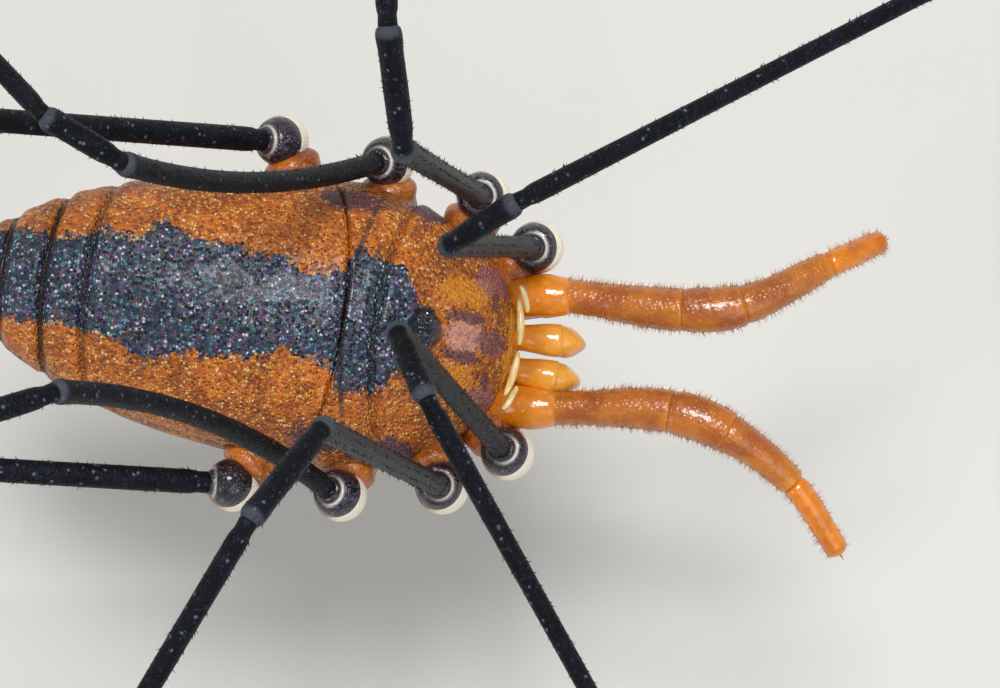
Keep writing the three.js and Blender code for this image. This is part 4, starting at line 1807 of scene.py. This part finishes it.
@dataclass
class Leg:
    """One leg: coxa and its cup, globe-shaped trochanter, femur, patella, tibia, metatarsus and tarsus.

    Attributes:
        pair: the sizes of its pair.
        side: which leg of the pair.
    """

    pair: LegPair
    side: Side
    # Radius of the globe, and of the cup, with how far that lies before and below the hip
    TROCHANTER = 0.28
    CUP = 0.296
    CUP_SHIFT = 0.03
    CUP_DROP = 0.07
    # Where every coxa starts: its distance from the midline, and its height
    COXA_ROOT = (0.42, -0.72)
    CLAW = 0.12
    # Radii near the start, in the middle and near the end of each segment
    FEMUR = (0.125, 0.118, 0.13)
    PATELLA = (0.12, 0.13, 0.125)
    TIBIA = (0.115, 0.1, 0.1)
    # Radii at the start and the end
    METATARSUS = (0.085, 0.07)
    TARSUS = (0.066, 0.034)
    # The solid foot lies on a flattened sole: its radius, the share of that which is left below its middle
    # line, and the share of the tarsus that lies along the floor
    SOLID_FOOT, SOLID_SINK, LAID_SHARE = 0.15, 0.55, 0.16
    # How far the thinner foot's skin is held above the floor, and the spacing of the tarsus's short joints
    SOLE_LIFT = 0.012
    TARSUS_JOINT = 0.3
    # The furrow round the femur's root, as the angle from its direction
    FURROW = 0.68
    SPINULES = {
        "femur": Bristle(0.045, 0.013, 0.75, lanes=8),
        "patella": Bristle(0.045, 0.014, 0.75, lanes=8),
        "tibia": Bristle(0.045, 0.014, 0.75, lanes=7),
    }
    HAIR = Bristle(0.07, 0.012, 0.8, (0.0, math.pi))
    SPINULES_PER_MM, HAIRS_PER_MM = 55, 42

    def __post_init__(self) -> None:
        """Works out the joints from the pair's sizes and this side's stance."""
        sign = self.side.value
        pair = self.pair
        self.name = f"leg_{pair.number}_{self.side.label}"
        self.hip = np.array([pair.hip[0], sign * pair.hip[1], 0.0])
        knee = pair.knees[self.side]
        self.rise = unit_vector(np.array([knee[0], sign * knee[1], knee[2]]))
        turn, dip = math.radians(pair.azimuths[self.side]), math.radians(pair.dips[self.side])
        self.outward = np.array([math.cos(turn), sign * math.sin(turn), 0.0])
        self.tibia_way = self.outward * math.cos(dip) - UP * math.sin(dip)
        self.patella_way = unit_vector(self.rise + self.tibia_way)
        self.knee = self.hip + self.rise * pair.femur
        self.tibia_start = self.knee + self.patella_way * pair.patella
        self.ankle = self.tibia_start + self.tibia_way * pair.tibia
        self.across = np.cross(self.outward, UP)
        self.front = unit_vector(np.array([1.0, 0.35 * sign, 0.0]))
        self.coxa_root = np.array([pair.coxa_x, sign * self.COXA_ROOT[0], self.COXA_ROOT[1]])
        self.coxa_way = unit_vector(self.hip - self.coxa_root)

    def stretch(self, start: Array, end: Array, radii: tuple[float, float, float], step: float,
                overlap: float = 0.03, bow: float = 0.0) -> Limb:
        """A slender segment between two joints, waisted behind its near end and swollen before its far end.

        Args:
            start: near joint.
            end: far joint.
            radii: radius near the start, in the middle and near the end.
            step: spacing of its rings.
            overlap: how far it reaches past each joint.
            bow: how far its middle leans towards the midline; the lean at the share s is 4 bow s (1 - s).

        Returns:
            The limb.
        """
        way = unit_vector(end - start)
        start, end = start - way * overlap, end + way * overlap
        length = float(np.linalg.norm(end - start))
        along = spread(0, length, int(length / step))
        share = along / length
        path = start + share[:, None] * (end - start)
        inward = np.array([0, -self.side.value, 0])
        lean = unit_vector(inward - way * (inward @ way))
        path = path + lean * (4 * bow * share * (1 - share))[:, None]
        radius = np.interp(share, (0, 0.5, 1), radii) * self.pair.thickness
        radius = radius - 0.02 * bell(along - 0.16, 0.08) + 0.012 * bell(length - along - 0.14, 0.12)
        return Limb(path, capped(along, radius, 0.1), self.across)

    @staticmethod
    def wrinkles(along: Array, turn: Array) -> Array:
        """Wrinkles of the coxa: a sine along it that weaves round it, times one round it.

        Args:
            along: distances along the limb.
            turn: angles round it.

        Returns:
            Heights above the skin.
        """
        return 0.008 * np.sin(along * 14 + 2 * np.sin(2 * turn)) * np.sin(3 * turn)

    def coxa(self) -> Surface:
        """Coxa: a stout cone from the underside out to the socket; the rear ones start lower, on the belly.

        Returns:
            The surface.
        """
        start = self.coxa_root
        end = self.hip - self.coxa_way * 0.12
        length = float(np.linalg.norm(end - start))
        along = spread(0, length, 40)
        share = along / length
        path = start + share[:, None] * (end - start)
        lowered = 0.075 * (self.pair.number - 1)
        raised = 0.16 if self.pair.number == 4 else 0.0
        path[:, 2] += raised * bell(share - 0.62, 0.25) - 0.1 * share ** 3 - lowered * (1 - share) ** 2
        radius = 0.35 - 0.02 * share - 0.025 * bell(share - 0.8, 0.08) + 0.02 * bell(share - 0.93, 0.08)
        limb = Limb(path, capped(along, radius, 0.24), np.cross(self.coxa_way, UP))
        return limb.skin(48, self.wrinkles)

    def lip(self, unit: Array) -> Array:
        """The cream lip's mark on the cup: rises to the hip's level, and from the rear side to the front.

        Args:
            unit: points of the unit sphere.

        Returns:
            Values from 0 to 1.
        """
        return smooth_step(unit[..., 2], -0.1, 0.05) * smooth_step(unit @ self.front, -0.3, 0.4)

    def cup(self) -> Surface:
        """The coxa's end: a cup under the trochanter, set a little forward, with a cream lip on that side."""
        return ball(self.hip + self.CUP_SHIFT * self.front - self.CUP_DROP * UP, self.CUP, 44, self.lip)

    def trochanter(self) -> Surface:
        """Trochanter: a glossy globe with one pale ring, rim and painted highlight, round the femur's root in
        a shallow furrow.

        At the angle a from the femur's direction and b round it, a point is hip + size(a) (sin a cos b * side
        + sin a sin b * other + cos a * femur's direction).

        Returns:
            The surface.
        """
        down, around = globe_angles(54, 60, 0.04)
        side = unit_vector(np.cross(self.rise, self.across + 0.01))
        other = np.cross(self.rise, side)
        swell = 1 - 0.09 * bell(down - self.FURROW, 0.09) + 0.03 * bell(down - 0.45, 0.12)
        level = np.cos(around)[..., None] * side + np.sin(around)[..., None] * other
        flat = np.sin(down)[..., None] * level
        size = (self.TROCHANTER * swell)[..., None]
        points = self.hip + size * (flat + np.cos(down)[..., None] * self.rise)
        # The ring is partly a real pale rim and partly a painted highlight, brighter towards the front.
        ring = bell(down - self.FURROW, 0.06) * (0.15 + 0.75 * smooth_step(flat @ self.front, -0.2, 0.6))
        return closed_grid(points, {"pale": ring})

    def femur(self) -> Limb:
        """Femur: long and slender, from the top of the trochanter to the knee."""
        start = self.hip + self.rise * (self.TROCHANTER - 0.06)
        return self.stretch(start, self.knee, self.FEMUR, 0.06, bow=self.pair.bows.get(self.side, 0.0))

    def patella(self) -> Limb:
        """Patella: the short segment that turns the leg over at the knee."""
        return self.stretch(self.knee, self.tibia_start, self.PATELLA, 0.04, 0.05)

    def tibia(self) -> Limb:
        """Tibia: straight and slender."""
        return self.stretch(self.tibia_start, self.ankle, self.TIBIA, 0.06)

    def foot_path(self) -> Array:
        """Middle line of metatarsus and tarsus: one long curve down to the floor, its end laid along it.

        Returns:
            The line's points.
        """
        pair = self.pair
        sole = FLOOR_Z + self.TARSUS[1] + self.SOLE_LIFT
        solid_sole = FLOOR_Z + self.SOLID_FOOT * self.SOLID_SINK
        heel = solid_sole + pair.tarsus * pair.tarsus_rise
        dip = math.asin((self.ankle[2] - heel) / pair.metatarsus)
        start = self.ankle - self.tibia_way * 0.03
        bend = self.ankle + self.outward * math.cos(dip) * pair.metatarsus
        bend[2] = heel
        laid = self.LAID_SHARE * pair.tarsus
        run = math.sqrt((pair.tarsus - laid) ** 2 - (heel - solid_sole) ** 2)
        shin = (self.ankle + bend) / 2
        sag = bend + self.outward * run * 0.5
        sag[2] = sole + (heel - sole) * 0.36
        touch, rest, tip = (bend + self.outward * (run + (laid - self.CLAW) * share) for share in (0, 0.5, 1))
        for point in (touch, rest, tip):
            point[2] = sole
        count = 700 if pair.number in (2, 4) else 480
        path = smooth_path(np.array([start, shin, bend, sag, touch, rest, tip]), count)
        path[:, 2] = np.maximum(path[:, 2], sole)
        return path

    def foot(self) -> Limb:
        """Metatarsus and tarsus: both slender, the tarsus ringed by its many short joints.

        Each short joint widens with the square of the distance along it.

        Returns:
            The limb.
        """
        path = self.foot_path()
        along = distances(path)
        heel = self.pair.metatarsus
        share = np.clip((along - heel) / (along[-1] - heel), 0, 1)
        slim = np.interp(along, (0, heel), self.METATARSUS)
        thin = self.TARSUS[0] + (self.TARSUS[1] - self.TARSUS[0]) * share
        radius = np.where(along < heel, slim, thin)
        phase = np.mod(along, self.TARSUS_JOINT) / self.TARSUS_JOINT
        radius = radius * (1 + np.where(along > heel, 0.16 * phase ** 2 - 0.05, 0))
        radius = radius + 0.012 * bell(along - heel + 0.08, 0.1)
        return Limb(path, capped(along, radius, 0.08), self.across)

    def claw(self) -> Surface:
        """The single claw at the tarsus's tip: a small hook that curves down to the floor.

        Returns:
            The surface.
        """
        tip = self.foot_path()[-1]
        t = np.linspace(0, 1, 12)
        path = tip + self.outward * (self.CLAW * (t - 0.15))[:, None]
        path[:, 2] = tip[2] + 0.03 * np.sin(math.pi * t) - 0.01 * t
        return Limb(path, 0.02 * (1 - t) + 0.002, self.across).skin(10, pale=0 * t)

    def coat(self) -> list[Surface]:
        """Spinules in lengthwise lanes on the upper segments and fine hairs on the foot.

        Returns:
            One surface for each segment.
        """
        row = (self.pair.number - 1) * 8 + 4 * (self.side is Side.RIGHT)
        seed = 100 + row
        spines = []
        for number, (part, spinule) in enumerate(self.SPINULES.items()):
            limb = getattr(self, part)()
            count = int(limb.along[-1] * self.SPINULES_PER_MM)
            spines.append(spinule.grow(limb, count, seed + number, row + number, 32))
        foot = self.foot()
        count = int(foot.along[-1] * self.HAIRS_PER_MM)
        spines.append(self.HAIR.grow(foot, count, seed + 3, row + 3, 32))
        return spines

    def dress(self, finishes: Finishes) -> None:
        """Places the hip, the upper segments with their paler far ends, and the foot with its claw.

        Args:
            finishes: the materials.
        """
        place_piece(f"{self.name}_hip", self.trochanter(), finishes.hip, "hip_gloss",
                    [f"{self.name}_trochanter"])
        for part in ("femur", "patella", "tibia", "foot"):
            limb = getattr(self, part)()
            end = limb.along[-1]
            pale = 0.5 * smooth_step(limb.along, end - 0.14, end - 0.05)
            if part == "foot":
                skin = joined([limb.skin(12, pale=0 * pale), self.claw()])
            else:
                skin = limb.skin(20, pale=pale)
            place_piece(f"{self.name}_{part}_skin", skin, finishes.leg, "leg_black", [f"{self.name}_{part}"])


# The scene


class Studio:
    """Floor, lights and camera."""

    # Where the camera looks in the body's frame, how far away it stands, and its turn and elevation
    TARGET = np.array([0.776, -0.014, 0.488])
    DISTANCE = 110.0
    TURN = 8.1
    ELEVATION = 84.5
    # Half the floor's width, and the distance of every light, in metres
    FLOOR = 4.0
    LIGHT_DISTANCE = 2.0
    # For each light its name, azimuth and elevation in degrees, width in metres and power in watts
    LIGHTS = (("key", 100, 74, 0.6, 30), ("fill", -40, 50, 1.4, 8), ("rim", 215, 35, 0.8, 5))

    def floor(self) -> None:
        """A plain pale floor, one flat sheet."""
        size = self.FLOOR
        mesh = bpy.data.meshes.new("floor")
        corners = [(-size, -size, 0), (size, -size, 0), (size, size, 0), (-size, size, 0)]
        mesh.from_pydata(corners, [], [(0, 1, 2, 3)])
        material = bpy.data.materials.new("pale_matte_paint")
        material.use_nodes = True
        shader = material.node_tree.nodes["Principled BSDF"]
        shader.inputs["Base Color"].default_value = linear("#D2D0CA")
        shader.inputs["Roughness"].default_value = 0.8
        mesh.materials.append(material)
        sheet = bpy.data.objects.new("floor", mesh)
        bpy.context.scene.collection.objects.link(sheet)

    def light(self, name: str, azimuth: float, elevation: float, size: float, power: float) -> None:
        """A soft square light that faces the animal.

        Args:
            name: the light's name.
            azimuth: direction it stands in, in degrees from +X towards +Y.
            elevation: height above the horizon, in degrees.
            size: its width in metres.
            power: its power in watts.
        """
        lamp = bpy.data.lights.new(name, "AREA")
        lamp.shape = "SQUARE"
        lamp.size = size
        lamp.energy = power
        turn, rise = math.radians(azimuth), math.radians(elevation)
        way = Vector((math.cos(turn) * math.cos(rise), math.sin(turn) * math.cos(rise), math.sin(rise)))
        made = bpy.data.objects.new(name, lamp)
        made.location = way * self.LIGHT_DISTANCE
        made.rotation_mode = "QUATERNION"
        made.rotation_quaternion = way.to_track_quat("Z", "Y")
        made.visible_camera = False
        bpy.context.scene.collection.objects.link(made)

    def lights(self) -> None:
        """A key light from the upper left, a fill from the right, a low rim light, and a pale surround."""
        for name, azimuth, elevation, size, power in self.LIGHTS:
            self.light(name, azimuth, elevation, size, power)
        world = bpy.data.worlds.new("surround")
        world.use_nodes = True
        world.node_tree.nodes["Background"].inputs["Color"].default_value = linear("#DDE3EA")
        world.node_tree.nodes["Background"].inputs["Strength"].default_value = 0.5
        bpy.context.scene.world = world
        bpy.context.scene.view_settings.view_transform = "Standard"

    def camera(self) -> None:
        """The photograph's view: almost straight down on the animal, with its head to the right."""
        turn, rise = math.radians(self.TURN), math.radians(self.ELEVATION)
        level = Vector((-math.sin(turn), math.cos(turn), 0))
        look = level * math.cos(rise) - Vector((0, 0, 1)) * math.sin(rise)
        above = level * math.sin(rise) + Vector((0, 0, 1)) * math.cos(rise)
        right = Vector((math.cos(turn), math.sin(turn), 0))
        lens = bpy.data.cameras.new("camera")
        lens.lens = PIXELS_PER_MM * self.DISTANCE / PICTURE_WIDTH * lens.sensor_width
        lens.clip_start = 0.005
        made = bpy.data.objects.new("camera", lens)
        target = Vector((self.TARGET + BODY_ORIGIN) * MM)
        facing = Matrix((right, above, -look)).transposed().to_4x4()
        made.matrix_world = Matrix.Translation(target - look * self.DISTANCE * MM) @ facing
        bpy.context.scene.collection.objects.link(made)
        bpy.context.scene.camera = made


PALP_JOINTS = {
    Side.LEFT: (
        (1.36, 0.68, -0.03), (2.76, 0.68, 0.22), (3.41, 0.83, 0.25), (4.27, 1.42, 0.03), (4.87, 1.84, -0.4),
    ),
    Side.RIGHT: (
        (1.38, 0.6, -0.03), (2.78, 0.47, 0.22), (3.43, 0.62, 0.25), (4.22, 1.06, 0.03), (4.86, 1.73, -0.4),
    ),
}


def build_body(finishes: Finishes) -> None:
    """Places the two shells, the eye mound, the eyes, the plates and the jaws.

    Args:
        finishes: the materials.
    """
    body, jaws = Body(), Jaws()
    head = Head(body)
    body.dress(finishes)
    head.dress(finishes)
    for side in Side:
        head.dress_eye(side, finishes)
        jaws.dress(side, finishes)


def build_palps(finishes: Finishes) -> None:
    """Places both palps, and the bristles of both as one piece.

    Args:
        finishes: the materials.
    """
    palps = [Palp(side, PALP_JOINTS[side]) for side in Side]
    for palp in palps:
        palp.dress(finishes)
    place_piece("palp_bristles", joined([palp.coat() for palp in palps]), finishes.bristle, "russet", [])


def build_legs(finishes: Finishes) -> None:
    """Places the eight legs, with the coxae of all as one piece and the spinules of all as another.

    Args:
        finishes: the materials.
    """
    legs = [Leg(pair, side) for pair in LEG_PAIRS for side in Side]
    for leg in legs:
        leg.dress(finishes)
    coxae = joined([part for leg in legs for part in (leg.coxa(), leg.cup())])
    place_piece("coxae", coxae, finishes.coxa, "front_shell", ["prosoma"])
    spinules = joined([tuft for leg in legs for tuft in leg.coat()])
    place_piece("leg_spinules", spinules, finishes.spine, "leg_black", [])


def main() -> None:
    """Builds the animal and the studio, piece by piece."""
    logging.basicConfig(level=logging.INFO, format="%(name)s: %(message)s")
    finishes = Finishes()
    build_body(finishes)
    build_palps(finishes)
    build_legs(finishes)
    studio = Studio()
    studio.floor()
    studio.lights()
    studio.camera()


if __name__ == "__main__":
    main()
